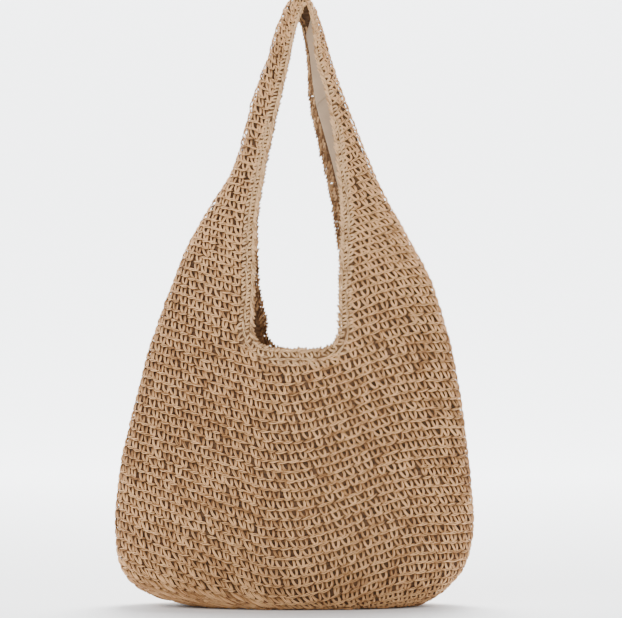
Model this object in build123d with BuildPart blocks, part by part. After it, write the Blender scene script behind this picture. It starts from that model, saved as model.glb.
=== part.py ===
"""Crochet hobo shoulder bag: oval base, tube worked in the round, two wings that narrow into one
shoulder strap, fabric lining with a slip pocket and a zip pocket, and a magnetic snap.

Millimetres. X is the bag's width, Y its depth with the front at -Y, Z up. The origin is the middle of
the base's underside.
"""

import os
from math import acos, degrees, radians, sqrt, tan

from build123d import *

os.makedirs("parts", exist_ok=True)

# ---------------------------------------------------------------------------------------------
# Driving dimensions
# ---------------------------------------------------------------------------------------------
RIM_Z = 277.0  # height of the front and back rims
STRAP_TOP_Z = 650.0  # top of the strap
YARN_GAP = 0.3  # running gap between two crochet pieces that are worked into each other
LINING_GAP = 1.4  # air between the crochet's inside and the lining
LINING_THICKNESS = 1.0
EDGING_WIDTH = 7.0  # the slip-stitch edging round each opening
OPENING_RADIUS = 22.0  # lower corners of the front and back openings

# The tube and its wings: height, left fold line, right fold line, half depth, fabric thickness.
# The fabric is thickest in the low corner, where the base turns up into the wall.
PROFILE = [
    (0, 133, 133, 45, 5),
    (8, 150, 149, 53.5, 13),
    (20, 166, 165, 55.5, 9),
    (40, 179, 178, 57, 6),
    (65, 187, 186, 58, 5),
    (92, 190, 190, 58, 5),
    (120, 189, 188.5, 57.5, 5),
    (150, 185.5, 185.5, 55, 5),
    (180, 179, 182, 50, 5),
    (205, 173, 179, 47, 5),
    (235, 165, 174, 47, 5),
    (RIM_Z, 154, 166, 47, 5),
    (300, 144.5, 160.5, 46, 5),
    (346, 127, 148, 39, 5),
    (380, 115, 131, 33, 5),
    (400, 107.5, 121, 29, 4.5),
    (430, 90, 105, 24, 4.5),
    (460, 69, 88.5, 19, 4.5),
    (500, 56, 69, 15.5, 4.5),
    (531, 47.6, 56, 13.5, 4.5),
    (560, 38, 46.5, 12.5, 4.5),
    (580, 31.5, 40.5, 11.5, 4.5),
]

# Where the four edges of the wings and strap stand: height, then X of the front left, front right,
# back left and back right edge. The strap is folded off its middle, so front and back differ.
EDGES = [
    (300, -43, 47, -32, 56),
    (346, -41.5, 48, -37, 52),
    (400, -40, 50, -38, 43),
    (460, -32, 46, -31, 31),
    (500, -25, 42, -24, 23),
    (531, -18, 38, -18, 17),
    (580, -6.5, 25, -6.5, 14),
]

# Hinge lines across the wings and strap, where the soft band bends: height and the bend each way.
WING_FOLD_Z, WING_FOLD_DEG = 300.0, 16.0
STRAP_FOLD_Z, STRAP_FOLD_DEG = 400.0, 32.0
STRAP_BEND_Z, STRAP_BEND_DEG = 500.0, 45.0
STRAP_CREST_Z, STRAP_CREST_DEG = 580.0, 50.0
FOLD_MARGIN_DEG = 0.5  # spare angle, so that bent pieces don't meet
FOLD_GAP = 0.4  # gap between two pieces on the hinge line itself
FOLD_REACH = 70.0  # how far a fold's clearance reaches, past the bag's half depth
CUT_PAST = 80.0  # how far a cutter runs past the half depth
CUT_SPAN = 220.0  # how far a cutter runs past the half width

FRONT, BACK = -1, 1
LEFT, RIGHT = -1, 1


def between(table, z):
    """The row of a table at height z, with straight lines between the rows."""
    for low, high in zip(table, table[1:]):
        if low[0] <= z <= high[0]:
            part = (z - low[0]) / (high[0] - low[0])
            return [a + (b - a) * part for a, b in zip(low, high)]
    raise ValueError(f"no row at height {z}")


def levels(start, end):
    """The profile's heights from start to end, both included."""
    inner = [row[0] for row in PROFILE if start < row[0] < end]
    return [start, *inner, end]


def save(piece, name):
    """Labels a finished piece and writes its STEP file."""
    piece.part.label = name
    export_step(piece.part, f"parts/{name}.step")


# ---------------------------------------------------------------------------------------------
# Sections and cutters shared by several pieces
# ---------------------------------------------------------------------------------------------
SIDE_SEAM_DEG = 0.4  # how far short of the side seams each lining panel stops, round the oval


def tube_section(z, inset):
    """The full oval of the tube at height z, inset from its outer face."""
    _, left, right, depth, _ = between(PROFILE, z)
    with BuildSketch(Plane.XY.offset(z)) as section:
        with Locations(((right - left) / 2, 0)):
            Ellipse((left + right) / 2 - inset, depth - inset)
    return section.sketch


def inner_face(z):
    """How far the crochet's inner face stands inside its outer face at height z."""
    return between(PROFILE, z)[4]


def panel_section(z, face, outset, thickness, half_width=None):
    """A strip of the oval at height z, on the front or back: the whole half, stopping just short of
    the side seams, or only as far as half_width each way from the middle."""
    _, left, right, depth, _ = between(PROFILE, z)
    middle = ((right - left) / 2, 0)
    width = (left + right) / 2 - outset
    depth = depth - outset
    first = SIDE_SEAM_DEG if half_width is None else degrees(acos(half_width / width))
    with BuildSketch(Plane.XY.offset(z)) as section:
        with BuildLine():
            outer = EllipticalCenterArc(
                middle, width, depth, face * first, arc_size=face * (180 - 2 * first)
            )
            inner = EllipticalCenterArc(
                middle, width - thickness, depth - thickness, face * first, arc_size=face * (180 - 2 * first)
            )
            Line(outer @ 0, inner @ 0)
            Line(outer @ 1, inner @ 1)
        make_face()
    return section.sketch


def quarter(z, side, face):
    """One quarter of a wing or strap section at height z: the X of its ellipse's middle, the X of
    its edge and the ellipse's two half axes."""
    _, left, right, depth, _ = between(PROFILE, z)
    column = {(LEFT, FRONT): 1, (RIGHT, FRONT): 2, (LEFT, BACK): 3, (RIGHT, BACK): 4}[side, face]
    edge = between(EDGES, z)[column]
    fold = right if side == RIGHT else -left
    # The edge keeps the same share of the half width as it has on the tube below.
    _, tube_left, tube_right, _, _ = between(PROFILE, WING_FOLD_Z)
    tube_middle = (tube_right - tube_left) / 2
    share = abs(EDGES[0][column] - tube_middle) / ((tube_left + tube_right) / 2)
    width = abs(fold - edge) / (1 - share)
    return fold - side * width, edge, width, depth


def quarter_arc(z, side, face, inset, start, end=None):
    """An arc of a quarter, inset from the outer face. start and end are distances in X from the
    edge towards the fold line, and with no end the arc runs to the fold line."""
    middle, edge, width, depth = quarter(z, side, face)
    near = abs(edge - middle)
    first = degrees(acos((near + start) / (width - inset)))
    last = 0.0 if end is None else degrees(acos((near + end) / (width - inset)))
    way = face if side == RIGHT else -face
    zero = 0 if side == RIGHT else 180
    return EllipticalCenterArc(
        (middle, 0), width - inset, depth - inset, zero + way * first, arc_size=way * (last - first)
    )


def band_section(z, side, outset, thickness, margin):
    """The C-shaped section of a wing or strap at height z, from margin past its front edge, round
    its fold line, to margin past its back edge."""
    with BuildSketch(Plane.XY.offset(z)) as section:
        with BuildLine():
            ends = []
            for face in (FRONT, BACK):
                outer = quarter_arc(z, side, face, outset, margin)
                inner = quarter_arc(z, side, face, outset + thickness, margin)
                ends.append((outer @ 0, inner @ 0))
            for outer_end, inner_end in ends:
                Line(outer_end, inner_end)
        make_face()
    return section.sketch


def edge_section(z, side, face, thickness, width):
    """The short section of the edging along one edge of a wing or strap at height z."""
    with BuildSketch(Plane.XY.offset(z)) as section:
        with BuildLine():
            outer = quarter_arc(z, side, face, 0, 0, width)
            inner = quarter_arc(z, side, face, thickness, 0, width)
            Line(outer @ 0, inner @ 0)
            Line(outer @ 1, inner @ 1)
        make_face()
    return section.sketch


def fold_clearance(height, bend, above):
    """The wedge that a piece gives up at a fold, so that it bends without meeting its neighbour.
    above is True for the piece above the fold line."""
    reach = FOLD_REACH
    way = -1 if above else 1
    near = height - way * FOLD_GAP / 2
    far = near - way * reach * tan(radians(bend / 2 + FOLD_MARGIN_DEG))
    past = height + way * reach
    with BuildPart() as wedge:
        with BuildSketch(Plane.YZ):
            with BuildLine():
                Polyline((0, near), (reach, far), (reach, past), (-reach, past), (-reach, far), close=True)
            make_face()
        extrude(amount=CUT_SPAN, both=True)
    return wedge.part


def opening_outline(face, grow):
    """The U-shaped opening in the front or back of the tube, drawn on the XZ plane, grown outward.
    It runs up past the wings' fold line."""
    top = WING_FOLD_Z + CUT_PAST
    left, right = (EDGES[0][1], EDGES[0][2]) if face == FRONT else (EDGES[0][3], EDGES[0][4])
    left, right = left - grow, right + grow
    low = RIM_Z - grow
    radius = OPENING_RADIUS + grow
    with BuildSketch(Plane.XZ) as outline:
        with BuildLine():
            FilletPolyline((left, top), (left, low), (right, low), (right, top), radius=radius)
            Line((left, top), (right, top))
        make_face()
    return outline.sketch


def opening_cutter(face, grow):
    """The opening's outline pushed out through the front or back wall."""
    with BuildPart() as cutter:
        extrude(opening_outline(face, grow), amount=CUT_PAST * -face)
    return cutter.part


# ---------------------------------------------------------------------------------------------
# Crochet tube and base
# ---------------------------------------------------------------------------------------------
BASE_THICKNESS = 5.0
BASE_GAP = 0.6  # between the base's edge and the first round of the wall

with BuildPart() as crochet_base:
    wall_inside = inner_face(0) + BASE_GAP
    extrude(tube_section(0, wall_inside), amount=BASE_THICKNESS)
save(crochet_base, "crochet_base")

with BuildPart() as crochet_body:
    heights = levels(0, WING_FOLD_Z)
    loft([tube_section(z, 0) for z in heights], ruled=True)
    loft([tube_section(z, inner_face(z)) for z in heights], ruled=True, mode=Mode.SUBTRACT)
    add(opening_cutter(FRONT, EDGING_WIDTH + YARN_GAP), mode=Mode.SUBTRACT)
    add(opening_cutter(BACK, EDGING_WIDTH + YARN_GAP), mode=Mode.SUBTRACT)
    add(fold_clearance(WING_FOLD_Z, WING_FOLD_DEG, above=False), mode=Mode.SUBTRACT)
save(crochet_body, "crochet_body")

for face, name in ((FRONT, "rim_edging_front"), (BACK, "rim_edging_back")):
    with BuildPart() as rim_edging:
        heights = levels(RIM_Z - 2 * EDGING_WIDTH, WING_FOLD_Z)
        loft([tube_section(z, 0) for z in heights], ruled=True)
        loft([tube_section(z, inner_face(z)) for z in heights], ruled=True, mode=Mode.SUBTRACT)
        add(opening_cutter(face, EDGING_WIDTH), mode=Mode.INTERSECT)
        add(opening_cutter(face, 0), mode=Mode.SUBTRACT)
        add(fold_clearance(WING_FOLD_Z, WING_FOLD_DEG, above=False), mode=Mode.SUBTRACT)
    save(rim_edging, name)

# ---------------------------------------------------------------------------------------------
# Lining of the tube
# ---------------------------------------------------------------------------------------------
LINING_BASE_Z = BASE_THICKNESS + LINING_GAP
LINING_SEAM_Z = LINING_BASE_Z + LINING_THICKNESS + 0.5  # where the wall lining starts above the base
LINING_BASE_INSET = 1.0  # how far inside the wall lining the base lining stops


def lining_face(z):
    """How far the lining's outer face stands inside the crochet's outer face at height z."""
    return inner_face(z) + LINING_GAP


with BuildPart() as lining_base:
    base_inset = lining_face(LINING_SEAM_Z) + LINING_BASE_INSET
    extrude(tube_section(LINING_BASE_Z, base_inset), amount=LINING_THICKNESS)
save(lining_base, "lining_base")

LINING_RIM_GROW = EDGING_WIDTH + 1.0  # the lining stops this far short of the opening's edge

for face, name in ((FRONT, "lining_front"), (BACK, "lining_back")):
    with BuildPart() as lining_panel:
        heights = levels(LINING_SEAM_Z, WING_FOLD_Z)
        loft(
            [panel_section(z, face, lining_face(z), LINING_THICKNESS) for z in heights],
            ruled=True,
        )
        add(opening_cutter(face, LINING_RIM_GROW), mode=Mode.SUBTRACT)
        add(fold_clearance(WING_FOLD_Z, WING_FOLD_DEG, above=False), mode=Mode.SUBTRACT)
    save(lining_panel, name)

# ---------------------------------------------------------------------------------------------
# Slip pocket on the front lining
# ---------------------------------------------------------------------------------------------
SLIP_LOW_Z, SLIP_TOP_Z = 110.0, 222.0
SLIP_HALF = 75.0
HEM_HEIGHT = 12.0
POCKET_GAP = 0.5  # air between the lining and a pocket sewn on it
HEM_GAP = 0.3  # air between the pocket and its hem tape


def inside_lining(z):
    """How far the lining's inner face stands inside the crochet's outer face at height z."""
    return lining_face(z) + LINING_THICKNESS


with BuildPart() as slip_pocket:
    loft(
        [
            panel_section(z, FRONT, inside_lining(z) + POCKET_GAP, LINING_THICKNESS, SLIP_HALF)
            for z in levels(SLIP_LOW_Z, SLIP_TOP_Z)
        ],
        ruled=True,
    )
save(slip_pocket, "slip_pocket")

with BuildPart() as slip_pocket_hem:
    hem_outset = POCKET_GAP + LINING_THICKNESS + HEM_GAP
    loft(
        [
            panel_section(z, FRONT, inside_lining(z) + hem_outset, LINING_THICKNESS, SLIP_HALF)
            for z in levels(SLIP_TOP_Z - HEM_HEIGHT, SLIP_TOP_Z)
        ],
        ruled=True,
    )
save(slip_pocket_hem, "slip_pocket_hem")

# ---------------------------------------------------------------------------------------------
# Zip pocket on the back lining: a flat patch, its zip along the top and the facing above the zip
# ---------------------------------------------------------------------------------------------
ZIP_Z = 216.0  # height of the zip's middle
ZIP_HALF = 80.0  # half of the zip pocket's width
PATCH_Y = 30.0  # front of the patch, which the fabric's tension keeps flat between its ends
PATCH_LOW_Z = 112.0
FACING_TOP_Z = 236.0
TAPE_HEIGHT = 9.0
TAPE_THICKNESS = 0.8
COIL_HEIGHT = 4.6
COIL_THICKNESS = 2.0
COIL_CORNER = 0.8
COIL_HALF = 74.0  # half of the coil's length
TAPE_OVERLAP = 5.0  # the tape's width that is sewn behind the patch's or facing's folded edge
TAPE_CLEARANCE = 1.7  # from the coil to each tape, wide enough for the slider's post
SEWN_GAP = 0.1  # between two pieces that are sewn flat on each other

tape_y = PATCH_Y + LINING_THICKNESS + SEWN_GAP
coil_y = tape_y - (COIL_THICKNESS - TAPE_THICKNESS) / 2
tape_inner = COIL_HEIGHT / 2 + TAPE_CLEARANCE  # from the zip's middle to each tape's near edge


def block(x_low, x_high, y_low, y_high, z_low, z_high):
    """A plain block between two corners."""
    with BuildPart() as piece:
        with Locations(((x_low + x_high) / 2, (y_low + y_high) / 2, (z_low + z_high) / 2)):
            Box(x_high - x_low, y_high - y_low, z_high - z_low)
    return piece.part


window_half = tape_inner + TAPE_HEIGHT - TAPE_OVERLAP  # half the height of the slot the zip shows in

patch_back_y = PATCH_Y + LINING_THICKNESS

with BuildPart() as zip_pocket:
    add(block(-ZIP_HALF, ZIP_HALF, PATCH_Y, patch_back_y, PATCH_LOW_Z, ZIP_Z - window_half))
save(zip_pocket, "zip_pocket")

with BuildPart() as zip_facing:
    add(block(-ZIP_HALF, ZIP_HALF, PATCH_Y, patch_back_y, ZIP_Z + window_half, FACING_TOP_Z))
save(zip_facing, "zip_facing")

for way, name in ((-1, "zip_tape_lower"), (1, "zip_tape_upper")):
    near, far = sorted((ZIP_Z + way * tape_inner, ZIP_Z + way * (tape_inner + TAPE_HEIGHT)))
    with BuildPart() as zip_tape:
        add(block(-ZIP_HALF, ZIP_HALF, tape_y, tape_y + TAPE_THICKNESS, near, far))
    save(zip_tape, name)

with BuildPart() as zip_coil:
    with BuildSketch(Plane.YZ.offset(-COIL_HALF)):
        with Locations((coil_y + COIL_THICKNESS / 2, ZIP_Z)):
            RectangleRounded(COIL_THICKNESS, COIL_HEIGHT, COIL_CORNER)
    extrude(amount=2 * COIL_HALF)
save(zip_coil, "zip_coil")

STOP_LENGTH, STOP_HEIGHT = 2.5, 7.0
STOP_GAP = 0.3  # between the coil's end and the stop
STOP_PROUD = 0.4  # how far a stop stands out of the coil's front and back
with BuildPart() as zip_end_stops:
    stop_low, stop_high = ZIP_Z - STOP_HEIGHT / 2, ZIP_Z + STOP_HEIGHT / 2
    stop_front, stop_back = coil_y - STOP_PROUD, coil_y + COIL_THICKNESS + STOP_PROUD
    for way in (-1, 1):
        near, far = sorted((way * (COIL_HALF + STOP_GAP), way * (COIL_HALF + STOP_GAP + STOP_LENGTH)))
        add(block(near, far, stop_front, stop_back, stop_low, stop_high))
save(zip_end_stops, "zip_end_stops")

SLIDER_LENGTH, SLIDER_HEIGHT = 10.0, 9.0
SLIDER_PLATE = 1.2
SLIDER_CORNER = 2.0
SLIDER_CLEARANCE = 0.3
SLIDER_END_GAP = 0.4  # between the closed slider and the coil's end
SLIDER_REST_X = -COIL_HALF + SLIDER_LENGTH / 2 + SLIDER_END_GAP  # closed, at the left end
POST_WIDTH, POST_THICKNESS = 2.0, 1.0
ARCH_HEIGHT = 4.0  # how far the pull's arch stands out of the front plate
ARCH_HALF, ARCH_WIDTH, ARCH_CORNER = 3.0, 1.8, 2.0
EYE_DEPTH, EYE_HEIGHT, EYE_CORNER = 2.8, 3.8, 1.0  # the hole under the arch
EYE_SET_BACK = 0.6  # from the pull's pivot to the middle of the eye
JOINED = 0.2  # how far pieces of one casting run into each other

slider_front = coil_y - SLIDER_CLEARANCE - SLIDER_PLATE
slider_back = coil_y + COIL_THICKNESS + SLIDER_CLEARANCE
pivot_y = slider_front - ARCH_HEIGHT + ARCH_WIDTH

with BuildPart() as zip_slider:
    for y_low in (slider_front, slider_back):
        with BuildSketch(Plane.XZ.offset(-y_low)):
            with Locations((SLIDER_REST_X, ZIP_Z)):
                RectangleRounded(SLIDER_LENGTH, SLIDER_HEIGHT, SLIDER_CORNER)
        extrude(amount=-SLIDER_PLATE)
    # The post that joins the two plates runs between the coil and the upper tape.
    post_low = ZIP_Z + COIL_HEIGHT / 2 + SLIDER_CLEARANCE
    add(
        block(
            SLIDER_REST_X - POST_WIDTH / 2, SLIDER_REST_X + POST_WIDTH / 2,
            slider_front + JOINED, slider_back + JOINED,
            post_low, post_low + POST_THICKNESS,
        )
    )
    # The arch that holds the pull tab.
    with BuildSketch(Plane.YZ.offset(SLIDER_REST_X - ARCH_WIDTH / 2)):
        with BuildLine():
            foot_y, crown_y = slider_front + JOINED, slider_front - ARCH_HEIGHT
            pull_arch = FilletPolyline(
                (foot_y, ZIP_Z - ARCH_HALF),
                (crown_y, ZIP_Z - ARCH_HALF),
                (crown_y, ZIP_Z + ARCH_HALF),
                (foot_y, ZIP_Z + ARCH_HALF),
                radius=ARCH_CORNER,
            )
            Line(pull_arch @ 1, pull_arch @ 0)
        make_face()
        with Locations((pivot_y + EYE_SET_BACK, ZIP_Z)):
            RectangleRounded(EYE_DEPTH, EYE_HEIGHT, EYE_CORNER, mode=Mode.SUBTRACT)
    extrude(amount=ARCH_WIDTH)
save(zip_slider, "zip_slider")

PULL_LENGTH, PULL_WIDTH, PULL_THICKNESS = 26.0, 7.0, 1.2
PULL_CORNER = 2.0
PULL_RISE = 1.0  # how far the pull's end stands above the zip's middle
SLOT_WIDTH, SLOT_HEIGHT, SLOT_CORNER = 3.0, 6.4, 0.8
SLOT_DROP = 3.2  # from the zip's middle down to the middle of the slot
with BuildPart() as zip_pull:
    # A flat tab that hangs from the arch, with a slot round the arch's outer leg.
    with BuildSketch(Plane.XZ.offset(-(pivot_y - PULL_THICKNESS / 2))):
        with Locations((SLIDER_REST_X, ZIP_Z - PULL_LENGTH / 2 + PULL_RISE)):
            RectangleRounded(PULL_WIDTH, PULL_LENGTH, PULL_CORNER)
        with Locations((SLIDER_REST_X, ZIP_Z - SLOT_DROP)):
            RectangleRounded(SLOT_WIDTH, SLOT_HEIGHT, SLOT_CORNER, mode=Mode.SUBTRACT)
    extrude(amount=-PULL_THICKNESS)
save(zip_pull, "zip_pull")

# ---------------------------------------------------------------------------------------------
# Magnetic snap, its patches and washers
# ---------------------------------------------------------------------------------------------
SNAP_Z = 252.0
SNAP_X = 6.0
SNAP_RADIUS = 9.0
PATCH_SIZE, PATCH_THICKNESS = 32.0, 0.8
WASHER_RADIUS, WASHER_THICKNESS = 8.0, 0.8
WASHER_GAP = 0.25  # between the crochet and each washer
PATCH_GAP = 0.4  # between the lining and each patch
PATCH_DROP = 1.0  # how much lower than the snap's middle each patch's top stands
SOCKET_HEIGHT, SOCKET_EDGE = 4.2, 1.0
WELL_RADIUS, WELL_FLOOR = 3.9, 2.0  # the hole in the socket and the metal left under it
STUD_PLATE, STUD_EDGE = 2.2, 0.8
STUD_RADIUS, STUD_HEIGHT = 3.5, 2.2


def wall_face(face, inset):
    """Y of the tube's front or back at the snap, inset from the outer face."""
    _, left, right, depth, _ = between(PROFILE, SNAP_Z)
    width = (left + right) / 2 - inset
    off = SNAP_X - (right - left) / 2
    return face * (depth - inset) * sqrt(1 - (off / width) ** 2)


def disc(face, y, radius, thickness):
    """A disc on the snap's axis, from Y = y inward."""
    with BuildPart() as piece:
        with BuildSketch(Plane.XZ.offset(-y)):
            with Locations((SNAP_X, SNAP_Z)):
                Circle(radius)
        extrude(amount=face * thickness)
    return piece.part


with BuildPart() as snap_washers:
    for face in (FRONT, BACK):
        washer_y = wall_face(face, inner_face(SNAP_Z) + WASHER_GAP)
        add(disc(face, washer_y, WASHER_RADIUS, WASHER_THICKNESS))
save(snap_washers, "snap_washers")

patch_y = {face: wall_face(face, inside_lining(SNAP_Z)) - face * PATCH_GAP for face in (FRONT, BACK)}

with BuildPart() as snap_patches:
    for face in (FRONT, BACK):
        near, far = sorted((patch_y[face], patch_y[face] - face * PATCH_THICKNESS))
        add(
            block(
                SNAP_X - PATCH_SIZE / 2, SNAP_X + PATCH_SIZE / 2, near, far,
                SNAP_Z - PATCH_SIZE / 2, SNAP_Z + PATCH_SIZE / 2 - PATCH_DROP,
            )
        )
save(snap_patches, "snap_patches")

seat_y = {face: patch_y[face] - face * (PATCH_THICKNESS + SEWN_GAP) for face in (FRONT, BACK)}

with BuildPart() as snap_socket:
    add(disc(FRONT, seat_y[FRONT], SNAP_RADIUS, SOCKET_HEIGHT))
    fillet(snap_socket.edges().group_by(Axis.Y)[-1], radius=SOCKET_EDGE)
    add(disc(FRONT, seat_y[FRONT] + WELL_FLOOR, WELL_RADIUS, SOCKET_HEIGHT), mode=Mode.SUBTRACT)
save(snap_socket, "snap_socket")

with BuildPart() as snap_stud:
    add(disc(BACK, seat_y[BACK], SNAP_RADIUS, STUD_PLATE))
    fillet(snap_stud.edges().group_by(Axis.Y)[0], radius=STUD_EDGE)
    add(disc(BACK, seat_y[BACK] - STUD_PLATE + JOINED, STUD_RADIUS, STUD_HEIGHT))
save(snap_stud, "snap_stud")

# ---------------------------------------------------------------------------------------------
# Wings and straps: crochet, edging and lining of each stretch between two folds
# ---------------------------------------------------------------------------------------------
STRETCHES = [
    ("wing", WING_FOLD_Z, WING_FOLD_DEG, STRAP_FOLD_Z, STRAP_FOLD_DEG),
    ("strap_lower", STRAP_FOLD_Z, STRAP_FOLD_DEG, STRAP_BEND_Z, STRAP_BEND_DEG),
    ("strap_upper", STRAP_BEND_Z, STRAP_BEND_DEG, STRAP_CREST_Z, STRAP_CREST_DEG),
]
BAND_LINING_GAP = 0.8
STRAP_EDGING_WIDTH = 4.5

for stretch, low, low_bend, high, high_bend in STRETCHES:
    heights = levels(low, high)
    trims = [fold_clearance(low, low_bend, above=True), fold_clearance(high, high_bend, above=False)]
    edging_width = EDGING_WIDTH if stretch == "wing" else STRAP_EDGING_WIDTH

    for side, word in ((LEFT, "left"), (RIGHT, "right")):
        with BuildPart() as band:
            loft(
                [band_section(z, side, 0, inner_face(z), edging_width + YARN_GAP) for z in heights],
                ruled=True,
            )
            for trim in trims:
                add(trim, mode=Mode.SUBTRACT)
        save(band, f"{stretch}_{word}")

        with BuildPart() as band_lining:
            loft(
                [
                    band_section(z, side, inner_face(z) + BAND_LINING_GAP, LINING_THICKNESS, edging_width)
                    for z in heights
                ],
                ruled=True,
            )
            for trim in trims:
                add(trim, mode=Mode.SUBTRACT)
        save(band_lining, f"{stretch}_lining_{word}")

    with BuildPart() as band_edging:
        for side in (LEFT, RIGHT):
            for face in (FRONT, BACK):
                loft([edge_section(z, side, face, inner_face(z), edging_width) for z in heights], ruled=True)
        for trim in trims:
            add(trim, mode=Mode.SUBTRACT)
    save(band_edging, f"{stretch}_edging")

# ---------------------------------------------------------------------------------------------
# Crest of the strap: the arch where the two halves meet
# ---------------------------------------------------------------------------------------------
_, crest_left, crest_right, crest_depth, crest_fabric = between(PROFILE, STRAP_CREST_Z)
_, inner_left, inner_right, _, _ = between(EDGES, STRAP_CREST_Z)
LOOP_TOP_Z = 620.0  # the underside of the arch, where a hook or a shoulder bears
JOIN_GAP = 0.3  # from the join's middle to each half of the strap


def arch_outline(left, right, top):
    """A parabola from the crest's fold line up to a top, closed along the fold line."""
    with BuildSketch(Plane.XZ) as outline:
        with BuildLine():
            # The middle control point stands twice as high over the ends as the curve's own top.
            peak = ((left + right) / 2, 2 * top - STRAP_CREST_Z)
            Bezier((left, STRAP_CREST_Z), peak, (right, STRAP_CREST_Z))
            Line((left, STRAP_CREST_Z), (right, STRAP_CREST_Z))
        make_face()
    return outline.sketch


def arch(left, right, top, half_depth):
    """A solid arch of that outline."""
    with BuildPart() as piece:
        extrude(arch_outline(left, right, top), amount=half_depth, both=True)
    return piece.part


def crest_shell(inset, half_depth):
    """The arch inset from the crest's outer outline."""
    return arch(inset - crest_left, crest_right - inset, STRAP_TOP_Z - inset, half_depth)


def loop_void(grow):
    """The space under the arch, grown towards the crest's outer outline."""
    return arch(inner_left - grow, inner_right + grow, LOOP_TOP_Z + grow, CUT_PAST)


crest_trim = fold_clearance(STRAP_CREST_Z, STRAP_CREST_DEG, above=True)

with BuildPart() as crest_solid:
    add(crest_shell(0, crest_depth))
    add(crest_shell(crest_fabric, crest_depth - crest_fabric), mode=Mode.SUBTRACT)
    add(crest_trim, mode=Mode.SUBTRACT)

# The two halves of the strap are sewn together at the crest.
seam_x = (crest_right - crest_left) / 2
for side, name in ((LEFT, "strap_crest_left"), (RIGHT, "strap_crest_right")):
    with BuildPart() as crest_half:
        add(crest_solid.part)
        add(loop_void(STRAP_EDGING_WIDTH + YARN_GAP), mode=Mode.SUBTRACT)
        kept_side = Keep.TOP if side == RIGHT else Keep.BOTTOM
        split(bisect_by=Plane.YZ.offset(seam_x + side * JOIN_GAP), keep=kept_side)
    save(crest_half, name)

with BuildPart() as strap_crest_edging:
    add(crest_solid.part)
    add(loop_void(STRAP_EDGING_WIDTH), mode=Mode.INTERSECT)
    add(loop_void(0), mode=Mode.SUBTRACT)
save(strap_crest_edging, "strap_crest_edging")

with BuildPart() as strap_crest_lining:
    outer_inset = crest_fabric + BAND_LINING_GAP
    inner_inset = outer_inset + LINING_THICKNESS
    add(crest_shell(outer_inset, crest_depth - outer_inset))
    add(crest_shell(inner_inset, crest_depth - inner_inset), mode=Mode.SUBTRACT)
    add(loop_void(STRAP_EDGING_WIDTH), mode=Mode.SUBTRACT)
    add(crest_trim, mode=Mode.SUBTRACT)
save(strap_crest_lining, "strap_crest_lining")

# Whip stitches over the outside of the join.
STITCH_SIZE = 1.6
STITCH_HALF_LENGTH = 4.0
STITCH_PITCH = 6.0
with BuildPart() as strap_join_stitches:
    for row in range(-1, 2):
        add(
            block(
                seam_x - STITCH_HALF_LENGTH, seam_x + STITCH_HALF_LENGTH,
                row * STITCH_PITCH - STITCH_SIZE / 2, row * STITCH_PITCH + STITCH_SIZE / 2,
                STRAP_TOP_Z, STRAP_TOP_Z + STITCH_SIZE,
            )
        )
save(strap_join_stitches, "strap_join_stitches")
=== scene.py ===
"""Looks of the crochet hobo bag: yarn stitches, edging, cloth lining, pockets, zip and snap.

Lengths in this script are millimetres until a mesh is made; meshes are in metres. The frame is the
CAD's: X across the bag, Y its depth with the front at -Y, Z up.
"""
import math

import bpy
import numpy as np
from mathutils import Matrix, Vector


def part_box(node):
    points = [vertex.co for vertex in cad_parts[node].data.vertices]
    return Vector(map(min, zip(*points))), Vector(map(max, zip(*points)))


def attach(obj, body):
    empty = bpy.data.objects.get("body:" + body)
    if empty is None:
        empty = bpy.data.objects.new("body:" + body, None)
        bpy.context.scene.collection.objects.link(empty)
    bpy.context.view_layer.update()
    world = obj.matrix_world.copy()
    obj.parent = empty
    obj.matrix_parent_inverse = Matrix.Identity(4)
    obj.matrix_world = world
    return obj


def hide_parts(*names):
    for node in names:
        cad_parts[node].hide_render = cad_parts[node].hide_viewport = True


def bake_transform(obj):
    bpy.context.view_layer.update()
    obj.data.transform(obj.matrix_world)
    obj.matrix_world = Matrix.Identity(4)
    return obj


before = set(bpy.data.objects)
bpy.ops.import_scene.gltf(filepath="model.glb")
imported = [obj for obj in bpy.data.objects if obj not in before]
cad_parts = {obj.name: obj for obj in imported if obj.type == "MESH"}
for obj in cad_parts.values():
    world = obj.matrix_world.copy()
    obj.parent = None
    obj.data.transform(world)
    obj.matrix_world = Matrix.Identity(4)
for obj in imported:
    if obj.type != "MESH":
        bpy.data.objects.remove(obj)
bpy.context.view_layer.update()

MM = 0.001
FRONT, BACK = -1, 1
LEFT, RIGHT = -1, 1
QUARTERS = [(LEFT, BACK), (LEFT, FRONT), (RIGHT, FRONT), (RIGHT, BACK)]
TO_FRONT = np.array([0.0, -1.0, 0.0])
TO_BACK = -TO_FRONT
UP = np.array([0.0, 0.0, 1.0])

# ---- Shape of the bag: the CAD's sections, moved a few millimetres to follow the photo ----
# Height, left fold line, right fold line, half depth.
PROFILE = np.array([
    (0, 111, 133, 45), (8, 145, 149, 53.5), (20, 170, 164, 55.5), (40, 185, 180, 57),
    (65, 190.5, 188, 58), (92, 191, 190.5, 58), (120, 189, 188.5, 57.5), (150, 185.5, 185.5, 55),
    (180, 179, 182, 50), (205, 173, 179, 47), (235, 165, 174, 47), (277, 154, 166, 47),
    (300, 146, 159.5, 46), (346, 129, 144.5, 39), (380, 115, 126.5, 33), (400, 104.5, 115.5, 29),
    (430, 86.5, 98.5, 24), (460, 68, 84, 19), (500, 55, 68, 15.5), (531, 47.6, 56, 13.5),
    (560, 37.5, 45.5, 12.5), (580, 30, 38.5, 11.5),
])
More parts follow.
